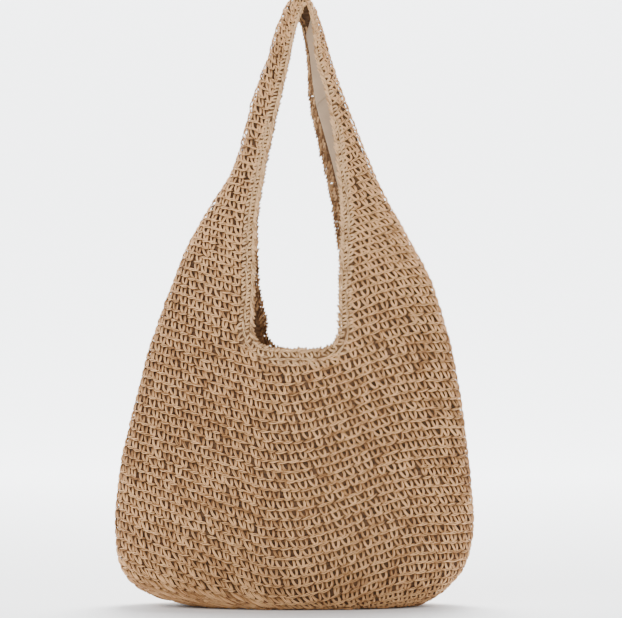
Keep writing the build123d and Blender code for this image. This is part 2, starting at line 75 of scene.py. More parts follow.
# Height, then X of the front left, front right, back left and back right edge.
EDGES = np.array([
    (300, -44.5, 47, -32.5, 56), (346, -43, 48, -40.5, 52), (400, -42, 50, -41.5, 45),
    (460, -33.5, 46, -33.5, 33.5), (500, -25.5, 41.5, -25, 24), (531, -18, 36.5, -18, 17),
    (580, -6.5, 22.5, -6.5, 14),
])
EDGE_COLUMN = {(LEFT, FRONT): 1, (RIGHT, FRONT): 2, (LEFT, BACK): 3, (RIGHT, BACK): 4}
RIM_Z = 270.0
OPENING_RADIUS = 22.0  # lower corners of the front and back openings
WING_Z = 300.0  # the tube ends and the wings begin
CREST_Z = 580.0  # the strap's two halves start to turn over towards each other
STRAP_TOP_Z = 650.0
SEAM_X = 5.5  # the halves meet here at the top
# The opening's top at the crest, X and Z, on the front and on the back.
CREST_APEX = {FRONT: (12.0, 636.0), BACK: (3.75, 622.0)}
RELIEF_FADE_Z = (330, 420)  # the cloth's unevenness dies away between these heights

# ---- Sizes of the crochet ----
STITCH_PITCH = 10.4  # along a row
ROW_PITCH = 10.0  # from one row to the next
BASE_HALF = 45.0  # from the middle of the underside to its front edge
RIM_ROW = 31  # first row that the openings interrupt
WING_ROW = 37  # first row that follows the wing's own guide curves
STRAND_RADIUS = 0.58  # each of the yarn's strands
STRAND_SPREAD = 0.86  # from the yarn's middle to a strand's middle
PAINTED_SIDE_SHADE = 0.34  # painted highlight and shade: how much lighter a strand is painted on its outer side, and darker on its inner side
STRAND_TWIST = 1.2  # radians that the strands turn round each other along one stitch
LOOP_TWIST = 2.5 * STRAND_TWIST  # the same along the loop on top of it
PAINTED_LIGHT_UP = 0.25  # painted light: how much lighter the strap's yarn is painted than the body's, where more light falls
PAINTED_LIGHT_Z = (240, 430)  # the painted light grows between these heights
LEG_APART = 0.285  # half the distance between a stitch's two legs, in pitches
LEAN = 0.36  # how far a stitch's top stands left of its foot, in pitches
LOOP_INSET = 1.35  # from the surface to the middle of the loop on top of a stitch
YARN_INSET = 1.45  # from the surface to the yarn's middle at a stitch's foot
CORE_INSET = 4.0  # the stitches' back loops, behind the legs
CORE_THICKNESS = 0.9
# How much higher than on the front's middle a row stands, along X.
LIFT = np.array([
    (-205, 64.5), (-110, 31), (-60, 12.6), (-25, 1), (-5, 0), (27, 5.2), (58, 14.8),
    (90, 26.2), (122, 32.8), (153, 34.6), (205, 34.6),
])


def smooth(x, table, column=1):
    """A smooth curve through a table's points at x, without overshoot; flat past its ends."""
    xs, ys = table[:, 0], table[:, column]
    gaps = np.diff(xs)
    slopes = np.diff(ys) / gaps
    tangents = np.zeros(len(xs))
    product = slopes[:-1] * slopes[1:]
    total = np.where(product > 0, slopes[:-1] + slopes[1:], 1)
    tangents[1:-1] = np.where(product > 0, 2 * product / total, 0)
    tangents[0], tangents[-1] = slopes[0], slopes[-1]
    x = np.clip(x, xs[0], xs[-1])
    i = np.clip(np.searchsorted(xs, x) - 1, 0, len(gaps) - 1)
    t = (x - xs[i]) / gaps[i]
    low = (1 + 2 * t) * (1 - t) ** 2 * ys[i] + t * (1 - t) ** 2 * gaps[i] * tangents[i]
    high = t * t * (3 - 2 * t) * ys[i + 1] + t * t * (t - 1) * gaps[i] * tangents[i + 1]
    return low + high


def ramp(x, start, end):
    """0 before start, 1 after end, smooth between them."""
    t = np.clip((x - start) / (end - start), 0, 1)
    return t * t * (3 - 2 * t)


def fold_line(z, side):
    """Distance of the fold line from X = 0 at height z."""
    return np.where(side == LEFT, smooth(z, PROFILE, 1), smooth(z, PROFILE, 2))


def half_depth(z):
    return smooth(z, PROFILE, 3)


def edge_line(z, side, face):
    """X of an opening's edge at height z."""
    columns = [smooth(z, EDGES, EDGE_COLUMN[q]) for q in QUARTERS]
    return np.select([(side == s) & (face == f) for s, f in QUARTERS], columns)


def edge_share(side, face):
    """The cosine of the angle round the oval at which an opening's edge stands, the same at all
    heights of a wing."""
    left, right = fold_line(WING_Z, LEFT), fold_line(WING_Z, RIGHT)
    edge = edge_line(WING_Z, side, face)
    return np.abs(edge - (right - left) / 2) / ((left + right) / 2)


def oval_width(z, side, face):
    """Half width of the oval quarter at height z."""
    tube = (smooth(z, PROFILE, 1) + smooth(z, PROFILE, 2)) / 2
    wing = np.abs(side * fold_line(z, side) - edge_line(z, side, face)) / (1 - edge_share(side, face))
    return np.where(z < WING_Z, tube, wing)


def relief(x, z, face):
    """Soft unevenness of the cloth, outward in mm."""
    ridge = 2.2 * np.exp(-(((x + 37 - (z - 240) * 0.06) / 9) ** 2))
    ridge = ridge * ramp(z, 150, 235) * (1 - ramp(z, 268, 300))
    waves = 0.9 * np.sin(x / 31 + z / 47 + 1.1 * face) * np.sin(z / 39 - x / 83)
    waves += 0.5 * np.sin(x / 17 - z / 29 + face) * ramp(z, 20, 60)
    return np.where(face == FRONT, ridge, 0) + waves * ramp(z, 5, 40)


def depth_at(x, z, face, sine):
    """Y of the outer face, where sine is that of the angle from the fold line."""
    y = face * half_depth(z) * sine
    return y + face * relief(x, z, face) * np.minimum(sine * 1.5, 1) * (1 - ramp(z, *RELIEF_FADE_Z))


# ---- Guide curves of the wings and strap, from the first wing row to the join at the crest ----
def arch_half(foot, apex, far_foot, side):
    """Points up one side of the arch over the crest, from the side's foot to the apex."""
    low, high = (foot, far_foot) if side == LEFT else (far_foot, foot)
    control = (2 * apex[0] - (low + high) / 2, 2 * apex[1] - CREST_Z)
    u = np.linspace(0, 0.5, 40) if side == LEFT else np.linspace(1, 0.5, 40)
    x = (1 - u) ** 2 * low + 2 * u * (1 - u) * control[0] + u * u * high
    z = (1 - u) ** 2 * CREST_Z + 2 * u * (1 - u) * control[1] + u * u * CREST_Z
    return np.stack([x, z], 1)


def by_length(points, count=241):
    """The same line as count points at equal distances, and its length."""
    steps = np.linalg.norm(np.diff(points, axis=0), axis=1)
    along = np.concatenate([[0], np.cumsum(steps)])
    wanted = np.linspace(0, along[-1], count)
    line = np.stack([np.interp(wanted, along, points[:, k]) for k in range(points.shape[1])], 1)
    return line, along[-1]


def guide(side, face=None):
    """X and Z of a wing's edge on one face, or of its fold line, at equal steps up to the crest."""
    row_z = WING_ROW * ROW_PITCH - BASE_HALF
    if face is None:
        start = row_z + smooth(side * fold_line(row_z + 20, side), LIFT)
        apex, foot = (SEAM_X, STRAP_TOP_Z), side * fold_line(CREST_Z, side)
        far_foot = -side * fold_line(CREST_Z, -side)
    else:
        start = row_z + smooth(edge_line(row_z, side, face), LIFT)
        apex, foot = CREST_APEX[face], edge_line(CREST_Z, side, face)
        far_foot = edge_line(CREST_Z, -side, face)
    z = np.linspace(start, CREST_Z, 200)
    x = side * fold_line(z, side) if face is None else edge_line(z, side, face)
    rising = np.stack([x, z], 1)
    points = np.concatenate([rising[:-1], arch_half(float(foot), apex, float(far_foot), side)])
    return by_length(points)


GUIDES = {(side, face): guide(side, face) for side in (LEFT, RIGHT) for face in (FRONT, BACK, None)}
WING_ROWS = {side: round(float(GUIDES[side, None][1]) / ROW_PITCH) for side in (LEFT, RIGHT)}
STEPS = np.linspace(0, 1, 241)
# Heights at which the edge guides (by side and face) and the fold guides (by side) begin.
GUIDE_FEET = (
    np.array([[GUIDES[s, f][0][0, 1] for f in (FRONT, BACK)] for s in (LEFT, RIGHT)]),
    np.array([GUIDES[s, None][0][0, 1] for s in (LEFT, RIGHT)]),
)


def wing_share(row, side):
    """How far up its wing a row is, from 0 at the first row to 1 at the join."""
    count = np.where(side == LEFT, WING_ROWS[LEFT], WING_ROWS[RIGHT])
    return np.clip((row - WING_ROW) / count, 0, 1)


def on_guide(t, side, face):
    """X and Z on a guide at the share t of its length."""
    found = []
    for k in (0, 1):
        columns = []
        for s, f in QUARTERS:
            key = (s, None) if face is None else (s, f)
            columns.append(np.interp(t, STEPS, GUIDES[key][0][:, k]))
        if face is None:
            found.append(np.where(side == LEFT, columns[0], columns[2]))
        else:
            found.append(np.select([(side == s) & (face == f) for s, f in QUARTERS], columns))
    return found


TURN_Z = 65.0  # the turn from the base into the wall ends here


def low_wall():
    """A table for the turn from the base up into the wall: the height of a point whose row level is
    given, for the cosine of its angle from the fold line. Rows are evenly spaced along the cloth."""
    z = np.linspace(0, TURN_Z, 131)
    cosines = np.linspace(0, 1, 25)
    levels = np.linspace(-TURN_Z, TURN_Z, 261)
    side_slope = np.gradient((smooth(z, PROFILE, 1) + smooth(z, PROFILE, 2)) / 2, z)
    depth_slope = np.gradient(smooth(z, PROFILE, 3), z)
    table, lengths = [], []
    for c in cosines:
        stretch = np.sqrt(1 + (side_slope * c) ** 2 + depth_slope ** 2 * (1 - c * c))
        along = np.concatenate([[0], np.cumsum((stretch[1:] + stretch[:-1]) / 2 * np.diff(z))])
        table.append(np.interp(levels - TURN_Z + along[-1], along, z))
        lengths.append(along[-1])
    return cosines, levels, np.array(table), np.array(lengths)


LOW_COSINES, LOW_LEVELS, LOW_TABLE, LOW_LENGTHS = low_wall()


def between(table, i, j):
    """A table's values between its cells, at rows i and columns j."""
    i0 = np.clip(i.astype(int), 0, len(table) - 2)
    j0 = j.astype(int)
    fi, fj = i - i0, j - j0
    if table.ndim == 3:
        fi, fj = fi[..., None], fj[..., None]
    low = table[i0, j0] * (1 - fj) + table[i0, j0 + 1] * fj
    high = table[i0 + 1, j0] * (1 - fj) + table[i0 + 1, j0 + 1] * fj
    return low * (1 - fi) + high * fi


def cell(value, stops):
    """Where a value is among evenly spaced stops, in steps, and kept inside them."""
    return np.clip((value - stops[0]) / (stops[1] - stops[0]), 0, len(stops) - 1.001)


def level_height(level, cosine):
    """Height of a point of the tube at a row level."""
    low = between(LOW_TABLE, cosine * (len(LOW_COSINES) - 1), cell(level, LOW_LEVELS))
    return np.where(level >= TURN_Z, level, low)


def ring_place(alpha):
    """Side, face and angle from the fold line, at angle alpha round the bag from the back's middle,
    left side first."""
    side = np.where(alpha < math.pi, LEFT, RIGHT)
    signed = np.where(side == LEFT, alpha - math.pi / 2, alpha - 1.5 * math.pi)
    face = np.where(side * signed > 0, BACK, FRONT)
    return side, face, np.abs(signed)


def wall(z, side, face, cosine):
    """X on the oval at height z, where cosine is that of the angle from the fold line."""
    return side * (fold_line(z, side) - oval_width(z, side, face) * (1 - cosine))


UNDER_LIMIT = 14  # a round is drawn in at most this far on the underside


def tube_height(row, side, face, cosine):
    """Height of a round of the tube, and how far on the underside it lies beyond the base's edge."""
    level = row * ROW_PITCH - BASE_HALF
    z = np.maximum(level, 0)
    # The lift depends on X, and X on the height, so a few passes bring them together.
    for _ in range(4):
        lifted = level + smooth(wall(z, side, face, cosine), LIFT)
        z = level_height(lifted, cosine)
    under = np.maximum(-(lifted - TURN_Z + np.interp(cosine, LOW_COSINES, LOW_LENGTHS)), 0)
    return z, np.minimum(under, UNDER_LIMIT)


def surface(alpha, row):
    """A point of the bag's outer face, for angles round it and row numbers up it."""
    alpha, row = np.broadcast_arrays(np.asarray(alpha, float), np.asarray(row, float))
    alpha = alpha % (2 * math.pi)
    side, face, angle = ring_place(alpha)
    cosine, sine = np.cos(angle), np.sin(angle)
    # Rounds of the tube: each stands higher towards the sides.
    z, under = tube_height(row, side, face, cosine)
    x = wall(z, side, face, cosine)
    # Rows of the wings: each runs straight from the edge's guide to the fold line's.
    t = wing_share(row, side)
    edge_x, edge_z = on_guide(t, side, face)
    dip = 0.035 * ramp(t, 0.02, 0.25) * (1 - ramp(t, 0.4, 0.75))
    fold_x, fold_z = on_guide(t - np.where(side == LEFT, dip, 0.4 * dip), side, None)
    share = edge_share(side, face)
    across = (cosine - share) / (1 - share)
    wing_z = edge_z + (fold_z - edge_z) * across
    # The first wing rows still have the last round's own curve.
    last_round, _ = tube_height(np.full(row.shape, float(WING_ROW)), side, face, cosine)
    first_edge, first_fold = GUIDE_FEET[0][(side > 0) * 1, (face > 0) * 1], GUIDE_FEET[1][(side > 0) * 1]
    curve = last_round - (first_edge + (first_fold - first_edge) * across)
    wing_z = wing_z + curve * (1 - ramp(t, 0, 0.3))
    direct_x = edge_x + (fold_x - edge_x) * across
    wing_x = wall(np.minimum(wing_z, CREST_Z), side, face, cosine)
    wing_x = wing_x + (direct_x - wing_x) * ramp(t, 0.1, 0.35)
    in_wing = row > WING_ROW
    x = np.where(in_wing, wing_x, x)
    z = np.where(in_wing, wing_z, z)
    y = depth_at(x, z, face, sine)
    drawn_in = 1 - under / np.maximum(np.hypot(x, y), 30)
    return np.stack([x * drawn_in, y * drawn_in, np.maximum(z, 0)], -1)


def on_wall(alpha, row):
    """Whether a point of the tube is above the underside, or at most 3 mm inside its border."""
    side, face, angle = ring_place(alpha % (2 * math.pi))
    _, under = tube_height(row + 0 * alpha, side, face, np.cos(angle))
    return under < 3


def edge_distance(alpha, row):
    """Distance of a point of the wall from the opening's edge, negative inside the opening."""
    side, face, angle = ring_place(alpha)
    x, _, z = np.moveaxis(WALL(alpha, row)[0], -1, 0)
    low, high = edge_line(z, LEFT, face), edge_line(z, RIGHT, face)
    off_x = np.abs(x - (low + high) / 2) - ((high - low) / 2 - OPENING_RADIUS)
    off_z = RIM_Z + OPENING_RADIUS - z
    outside = np.hypot(np.maximum(off_x, 0), np.maximum(off_z, 0))
    tube = outside + np.minimum(np.maximum(off_x, off_z), 0) - OPENING_RADIUS
    t = wing_share(row, side)
    edge_x, edge_z = on_guide(t, side, face)
    fold_x, fold_z = on_guide(t, side, None)
    share = edge_share(side, face)
    wing = (np.cos(angle) - share) / (1 - share) * np.hypot(fold_x - edge_x, fold_z - edge_z)
    return np.where(row > WING_ROW, wing, tube)


def edging_width(z):
    """Width of the edging band, which narrows up the strap."""
    return np.interp(z, [285, 320, 400, 560, 620], [15.5, 13, 12.5, 7.5, 4.5])


# ---- Meshes ----
def fill(items, name, values, kind=np.float32):
    """Sets one property of all of a mesh's items."""
    items.foreach_set(name, values.astype(kind).ravel())


class Builder:
    """Collects vertices and faces of one piece, with each vertex's yarn data."""

    def __init__(self):
        self.points, self.faces, self.materials, self.maps, self.smooth = [], [], [], [], []
        self.tints, self.strands = [], []
        self.count = 0
        self.stitches = 0

    def add(self, points, faces, material, uv, tint, strand, smooth=True):
        self.points.append(points.reshape(-1, 3))
        self.faces.append(faces + self.count)
        self.materials.append(np.full(len(faces), material))
        self.smooth.append(np.broadcast_to(smooth, len(faces)))
        start, share = MAIN_STRIP if material == 0 else SIDE_STRIP
        self.maps.append(uv * [share, 1] + [start, 0])
        self.tints.append(np.broadcast_to(tint, len(self.points[-1])))
        self.strands.append(strand)
        self.count += len(self.points[-1])

    def finish(self, name, materials):
        """Makes the object. Faces are quads; a corner given twice makes a triangle."""
        faces = np.concatenate(self.faces)
        keep = np.ones(faces.shape, bool)
        keep[faces[:, 2] == faces[:, 3], 3] = False
        sizes = keep.sum(1)
        mesh = bpy.data.meshes.new(name)
        mesh.vertices.add(self.count)
        mesh.loops.add(int(sizes.sum()))
        mesh.polygons.add(len(faces))
        fill(mesh.vertices, "co", np.concatenate(self.points) * MM)
        fill(mesh.loops, "vertex_index", faces[keep], np.int32)
        fill(mesh.polygons, "loop_start", np.cumsum(sizes) - sizes, np.int32)
        fill(mesh.polygons, "loop_total", sizes, np.int32)
        fill(mesh.polygons, "material_index", np.concatenate(self.materials), np.int32)
        fill(mesh.polygons, "use_smooth", np.concatenate(self.smooth), bool)
        layer = mesh.uv_layers.new(name=MAP_NAME)
        fill(layer.data, "uv", np.concatenate(self.maps)[keep])
        # Each vertex's tint holds its strand's own random tone with painted shade and painted light added.
        tint = mesh.attributes.new("tint", "FLOAT", "POINT")
        fill(tint.data, "value", np.concatenate(self.tints))
        strand = mesh.attributes.new("strand", "FLOAT_VECTOR", "POINT")
        fill(strand.data, "vector", np.concatenate(self.strands))
        for m in materials:
            mesh.materials.append(m)
        mesh.update()
        mesh.validate()
        obj = bpy.data.objects.new(name, mesh)
        bpy.context.scene.collection.objects.link(obj)
        return obj


MAP_NAME = "OFBake"  # the UV map, laid out here strand by strand
# Where the map's width begins, and its share: first for a piece's first material, then the others.
MAIN_STRIP = (0, 0.9)
SIDE_STRIP = (0.91, 0.09)
TILES_PER_PIECE = 460  # the most stitches that one piece holds
TUBE_SIDES = 5
TUBE_END = 0.45  # a tube's first and last ring beside its others
FIBRE_RUN = 10  # how far the fibres' pattern runs along one strand
FIBRE_SHIFT = 37  # how far it moves from tint to tint, so that strands differ
TINT_SPREAD = 0.18  # between the strands of one stitch


def tile_grid(count):
    """Side of the square of tiles that holds count tiles."""
    return max(1, math.ceil(math.sqrt(count)))


def strand_frame(centres, normals):
    """Unit vectors across lines of points, along the surface and outward."""
    tangents = np.gradient(centres, axis=1)
    tangents /= np.linalg.norm(tangents, axis=2, keepdims=True) + 1e-9
    across = np.cross(tangents, normals)
    across /= np.linalg.norm(across, axis=2, keepdims=True) + 1e-9
    return across, np.cross(across, tangents)


def tubes(builder, centres, normals, radius, tint, tile, squash=0.9, material=0, shade=0.0):
    """Sweeps closed tubes along lines of centres, shaped (lines, points, 3), with rings that taper
    at both ends. normals say which way is outward, and tile gives each tube's X, Y and size on the
    map."""
    lines, points, _ = centres.shape
    across, up = strand_frame(centres, normals)
    ends = np.ones(points)
    ends[0] = ends[-1] = TUBE_END
    theta = np.arange(TUBE_SIDES) * 2 * math.pi / TUBE_SIDES
    around = across[:, :, None, :] * np.cos(theta)[:, None]
    around = around + up[:, :, None, :] * np.sin(theta)[:, None] * squash
    ring = centres[:, :, None, :] + around * (radius * ends)[:, None, None]
    along = np.linspace(0, 1, points)
    tint = np.broadcast_to(tint, lines)
    strand = np.empty((lines, points, TUBE_SIDES, 3))
    strand[..., 0], strand[..., 1] = np.cos(theta), np.sin(theta)
    strand[..., 2] = along[:, None] * FIBRE_RUN + tint[:, None, None] * FIBRE_SHIFT
    index = np.arange(lines * points * TUBE_SIDES).reshape(lines, points, TUBE_SIDES)
    turned = np.roll(index, -1, axis=2)
    faces = [np.stack([index[:, :-1], turned[:, :-1], turned[:, 1:], index[:, 1:]], -1).reshape(-1, 4)]
    tile_x, tile_y, tile_size = (np.broadcast_to(v, lines) for v in tile)
    u0 = np.arange(TUBE_SIDES) / TUBE_SIDES
    u = np.stack([u0, u0 + 1 / TUBE_SIDES, u0 + 1 / TUBE_SIDES, u0], -1)
    v = np.stack([along[:-1], along[:-1], along[1:], along[1:]], -1)
    wall_u = np.broadcast_to(u[None, None], (lines, points - 1, TUBE_SIDES, 4))
    wall_v = np.broadcast_to(v[None, :, None], (lines, points - 1, TUBE_SIDES, 4))
    uv = np.stack([wall_u, wall_v], -1) * 0.92 + 0.04
    uv = uv * tile_size[:, None, None, None, None]
    corners = np.stack([tile_x, tile_y], -1)
    maps = [(uv + corners[:, None, None, None, :]).reshape(-1, 4, 2)]
    forward = list(range(TUBE_SIDES))
    for end, order in ((0, [0] + forward[:0:-1]), (points - 1, forward)):
        cap = index[:, end][:, order]
        for quad in ((0, 1, 2, 3), (0, 3, 4, TUBE_SIDES - 1)):
            faces.append(cap[:, list(quad)])
            maps.append(corners[:, None, :] + np.zeros((lines, 4, 2)))
    # A strand's tone: its tint, plus the painted shade and light passed in as shade, plus a painted highlight
    # on its outer side and painted shade on its inner side.
    tone = (tint[:, None] + shade + np.zeros(points))[:, :, None] + PAINTED_SIDE_SHADE * np.sin(theta)
    builder.add(
        ring, np.concatenate(faces), material, np.concatenate(maps), tone.ravel(), strand.reshape(-1, 3),
    )


def next_tiles(builder, count):
    """The map's tiles for a piece's next stitches: their X and Y, and their size."""
    grid = tile_grid(TILES_PER_PIECE)
    place = np.arange(count) + builder.stitches
    builder.stitches += count
    size = 1 / grid
    return (place % grid) * size, (place // grid) * size, size


def lay_yarn(builder, centre, normal, turn, strands, tint, tiles, rng, shade, spread, radius, flat, first=0):
    """Strands twisted round lines of centres. turn is the first one's angle at each point, shade the
    painted shade and painted light added to their tint, flat how flat the yarn is and first how many
    strands of the stitch's tile are taken."""
    across, outward = strand_frame(centre, normal)
    tile_x, tile_y, size = tiles
    for n in range(strands):
        angle = turn + n * 2 * math.pi / strands
        offset = across * np.cos(angle)[..., None] + outward * np.sin(angle)[..., None] * flat
        kind = first + n
        strip = (tile_x + size * (kind % 3) / 3, tile_y + size * (kind // 3) / 3, size / 3)
        tubes(
            builder, centre + offset * STRAND_SPREAD * spread, normal, STRAND_RADIUS * radius,
            np.clip(tint + rng.normal(0, TINT_SPREAD, len(centre)), 0, 1), strip, shade=shade,
        )


def leg_path(points=11):
    """A stitch's two legs as one U: share of the pitch, share of the row, depth under the surface."""
    t = np.linspace(-1, 1, points)
    reach = np.abs(t)
    along = LEG_APART * np.sign(t) * (1 - (1 - reach) ** 3)
    up = 0.03 + 0.85 * reach ** 1.3
    inset = YARN_INSET + 1.3 * reach ** 3 + 0.8 * (1 - reach) ** 3 - 0.35 * np.sin(math.pi * reach)
    return along - LEAN * (up - 0.5), up, inset


def loop_path(points=6):
    """The front loop that lies along the top of a stitch."""
    t = np.linspace(-1, 1, points)
    return 0.58 * t - LEAN * 0.45, 0.95 + 0.04 * t * t + 0.1 * t, LOOP_INSET + 0.7 * t * t


class Surface:
    """A surface sampled on a grid of its two coordinates, for quick points and outward normals."""

    def __init__(self, face_of, a_range, b_range, a_count, b_count):
        self.a, self.b = np.linspace(*a_range, a_count), np.linspace(*b_range, b_count)
        points = face_of(*np.meshgrid(self.a, self.b, indexing="ij"))
        normal = np.cross(np.gradient(points, axis=0), np.gradient(points, axis=1))
        normal /= np.maximum(np.linalg.norm(normal, axis=-1, keepdims=True), 1e-9)
        self.values = np.concatenate([points, normal], -1)

    def __call__(self, a, b):
        """Points and unit normals at (a, b)."""
        found = between(self.values, cell(a, self.a), cell(b, self.b))
        normal = found[..., 3:]
        normal = normal / np.maximum(np.linalg.norm(normal, axis=-1, keepdims=True), 1e-9)
        return found[..., :3], normal


def lay_stitches(builder, face_of, a, spacing, b, rng, height=1.0, unruly=1.0, thick=1.0):
    """Lays stitches on a surface. a and spacing are each stitch's place and pitch in the surface's
    first coordinate, b its row, height how many rows it is high, unruly how uneven they are and
    thick how thick the yarn is."""
    count = len(a)
    if not count:
        return
    tiles = next_tiles(builder, count)
    tint = 0.5 + 0.3 * (rng.random(count) - 0.5)
    jitter_a = rng.normal(0, 0.05, count) * unruly
    jitter_b = rng.normal(0, 0.045, count) * unruly
    swell = rng.normal(0, 0.16, count) * unruly
    wide = 1 + rng.normal(0, 0.13, count) * unruly
    slant = rng.normal(0, 0.1, count) * unruly
    first = 0
    for path, strands, twist in ((leg_path(), 3, STRAND_TWIST), (loop_path(), 2, LOOP_TWIST)):
        along, up, inset = path
        # Painted shade and light: strands get darker where they run down into the cloth, and lighter where
        # they stand out of it.
        shade = 0.04 - 0.52 * (inset - YARN_INSET)
        inset = inset * thick
        slid = along * wide[:, None] + jitter_a[:, None] + slant[:, None] * (up - 0.5)
        aa = a[:, None] + slid * spacing[:, None]
        bb = b[:, None] + up * height + jitter_b[:, None]
        here, normal = face_of(aa, bb)
        centre = here - normal * (inset + swell[:, None])[..., None]
        # Painted light: the yarn is painted lighter up the strap, where more light falls.
        shade = shade + PAINTED_LIGHT_UP * ramp(here[..., 2], *PAINTED_LIGHT_Z)
        turn = np.linspace(-0.5, 0.5, len(along)) * twist + rng.normal(0, 0.35, count)[:, None]
        lay_yarn(builder, centre, normal, turn, strands, tint, tiles, rng, shade, thick, thick, 0.55, first)
        first += strands


def slab(builder, outer, inner, material, closed):
    """A closed sheet between two grids of points, shaped (rows, columns, 3). closed joins the last
    column to the first."""
    rows, columns, _ = outer.shape
    index = np.arange(rows * columns).reshape(rows, columns)
    if closed:
        index = np.concatenate([index, index[:, :1]], 1)
    total = rows * columns
    sheet = np.stack([index[:-1, :-1], index[:-1, 1:], index[1:, 1:], index[1:, :-1]], -1)
    faces = [sheet.reshape(-1, 4), sheet[..., ::-1].reshape(-1, 4) + total]
    rims = [index[0], index[-1][::-1]]
    if not closed:
        rims += [index[:, 0][::-1], index[:, -1]]
    for rim in rims:
        faces.append(np.stack([rim[:-1], rim[:-1] + total, rim[1:] + total, rim[1:]], -1))
    smooth_count = len(faces[0]) + len(faces[1])
    faces = np.concatenate(faces)
    u, v = np.meshgrid(np.linspace(0, 1, columns), np.linspace(0, 1, rows))
    flat = np.concatenate([np.stack([u, v], -1).reshape(-1, 2)] * 2)
    points = np.concatenate([outer.reshape(-1, 3), inner.reshape(-1, 3)])
    strand = np.zeros((len(points), 3))
    builder.add(points, faces, material, flat[faces], 0.5, strand, np.arange(len(faces)) < smooth_count)


# ---- Materials ----
class Look:
    """A material's nodes, with short ways to add what the materials below share."""

    def __init__(self, name):
        self.material = bpy.data.materials.new(name)
        self.material.use_nodes = True
        self.tree = self.material.node_tree
        self.inputs = self.tree.nodes["Principled BSDF"].inputs

    def node(self, kind, **settings):
        """A new node. A setting is an input's value where an input has that name."""
        made = self.tree.nodes.new(kind)
        for key, value in settings.items():
            label = key.replace("_", " ")
            if label in made.inputs:
                made.inputs[label].default_value = value
            else:
                setattr(made, key, value)
        return made

    def link(self, source, target):
        self.tree.links.new(source, target)

    def place(self):
        return self.node("ShaderNodeTexCoord").outputs["Object"]

    def attribute(self, name, output):
        return self.node("ShaderNodeAttribute", attribute_name=name).outputs[output]

    def texture(self, kind, vector, output, **settings):
        made = self.node(kind, **settings)
        self.link(vector, made.inputs["Vector"])
        return made.outputs[output]

    def noise(self, vector, **settings):
        return self.texture("ShaderNodeTexNoise", vector, "Fac", **settings)

    def stretch(self, vector, scale):
        return self.texture("ShaderNodeMapping", vector, "Vector", Scale=scale)

    def maths(self, operation, *values):
        """The result for values that are numbers or other nodes' outputs."""
        made = self.node("ShaderNodeMath", operation=operation)
        for target, value in zip(made.inputs, values):
            if isinstance(value, float):
                target.default_value = value
            else:
                self.link(value, target)
        return made.outputs[0]

    def colour(self, source, *stops):
        """Base colour, read off a ramp of (place, colour) stops."""
        made = self.node("ShaderNodeValToRGB")
        elements = made.color_ramp.elements
        for element, (place, colour) in zip(elements, (stops[0], stops[-1])):
            element.position = place
            element.color = (*colour, 1)
        for place, colour in stops[1:-1]:
            elements.new(place).color = (*colour, 1)
        self.link(source, made.inputs["Fac"])
        self.link(made.outputs["Color"], self.inputs["Base Color"])

    def bump(self, source, strength, distance):
        made = self.node("ShaderNodeBump", Strength=strength, Distance=distance)
        self.link(source, made.inputs["Height"])
        self.link(made.outputs["Normal"], self.inputs["Normal"])

    def spread(self, source, target, **limits):
        """Sends source to one of the shader's inputs, stretched to new limits."""
        made = self.node("ShaderNodeMapRange", **limits)
        self.link(source, made.inputs["Value"])
        self.link(made.outputs["Result"], self.inputs[target])


def yarn_material(name, dark, middle, light, roughness=0.62):
    """Twisted paper yarn: a tint for each strand, which carries painted shade and painted light too, fine
    fibres along it and a dull sheen.
    """
    look = Look(name)
    # Fibres: noise that is fine round the strand and long along it.
    along_strand = look.stretch(look.attribute("strand", "Vector"), (2.6, 2.6, 0.35))
    fibre = look.noise(along_strand, Scale=1.6, Detail=3.0, Roughness=0.6)
    patches = look.noise(look.place(), Scale=60.0, Detail=2.0)
    faint = look.maths("MULTIPLY", patches, 0.4)
    # The tint attribute carries painted shade and painted light besides each strand's own tone.
    blend = look.maths("MULTIPLY_ADD", look.attribute("tint", "Fac"), 0.9, faint)
    shade = look.maths("MULTIPLY_ADD", fibre, 0.75, blend)
    centred = look.maths("SUBTRACT", shade, 0.5)
    look.colour(centred, (0.0, dark), (0.45, middle), (1.0, light))
    look.bump(fibre, 0.35, 0.0004)
    look.spread(fibre, "Roughness", To_Min=roughness - 0.1, To_Max=roughness + 0.12)
    look.inputs["Specular IOR Level"].default_value = 0.35
    return look.material


def core_material(name, dark, light):
    """The back loops seen between the legs: short strands along the rows, coloured with painted deep shade.
    """
    look = Look(name)
    loops = look.noise(look.stretch(look.place(), (0.45, 0.45, 1.6)), Scale=260.0, Detail=2.0)
    look.colour(loops, (0.3, dark), (0.7, light))
    look.bump(loops, 0.8, 0.001)
    look.inputs["Roughness"].default_value = 0.85
    return look.material


def cloth_material(name, base, thread=0.00055, contrast=0.12, roughness=0.8):
    """Plain-weave cloth: crossed threads in bump and tone, with faint mottling."""
    look = Look(name)
    place = look.place()
    scale = 1 / thread / 20 * math.pi  # a wave texture has 20 bands in 2 pi metres at scale 1
    warp, weft = (
        look.texture(
            "ShaderNodeTexWave", place, "Fac", wave_type="BANDS", bands_direction=direction,
            Scale=scale, Distortion=0.6, Detail=1.0,
        )
        for direction in ("X", "Z")
    )
    weave = look.maths("MULTIPLY", warp, weft)
    mottle = look.noise(place, Scale=45.0, Detail=4.0)
    dark = tuple(c * (1 - contrast * 1.6) for c in base)
    light = tuple(min(1, c * (1 + contrast)) for c in base)
    look.colour(look.maths("MULTIPLY_ADD", weave, 0.35, mottle), (0.3, dark), (0.85, light))
    look.bump(weave, 0.5, 0.0003)
    look.inputs["Roughness"].default_value = roughness
    look.inputs["Sheen Weight"].default_value = 0.25
    return look.material


def grained_material(name, scale, detail, dark, light, rough, metallic=0.0):
    """Nylon or metal with a fine grain in its tone and gloss."""
    look = Look(name)
    grain = look.noise(look.place(), Scale=scale, Detail=detail)
    look.colour(grain, (0.35, dark), (0.7, light))
    look.spread(grain, "Roughness", To_Min=rough[0], To_Max=rough[1])
    look.inputs["Metallic"].default_value = metallic
    return look.material


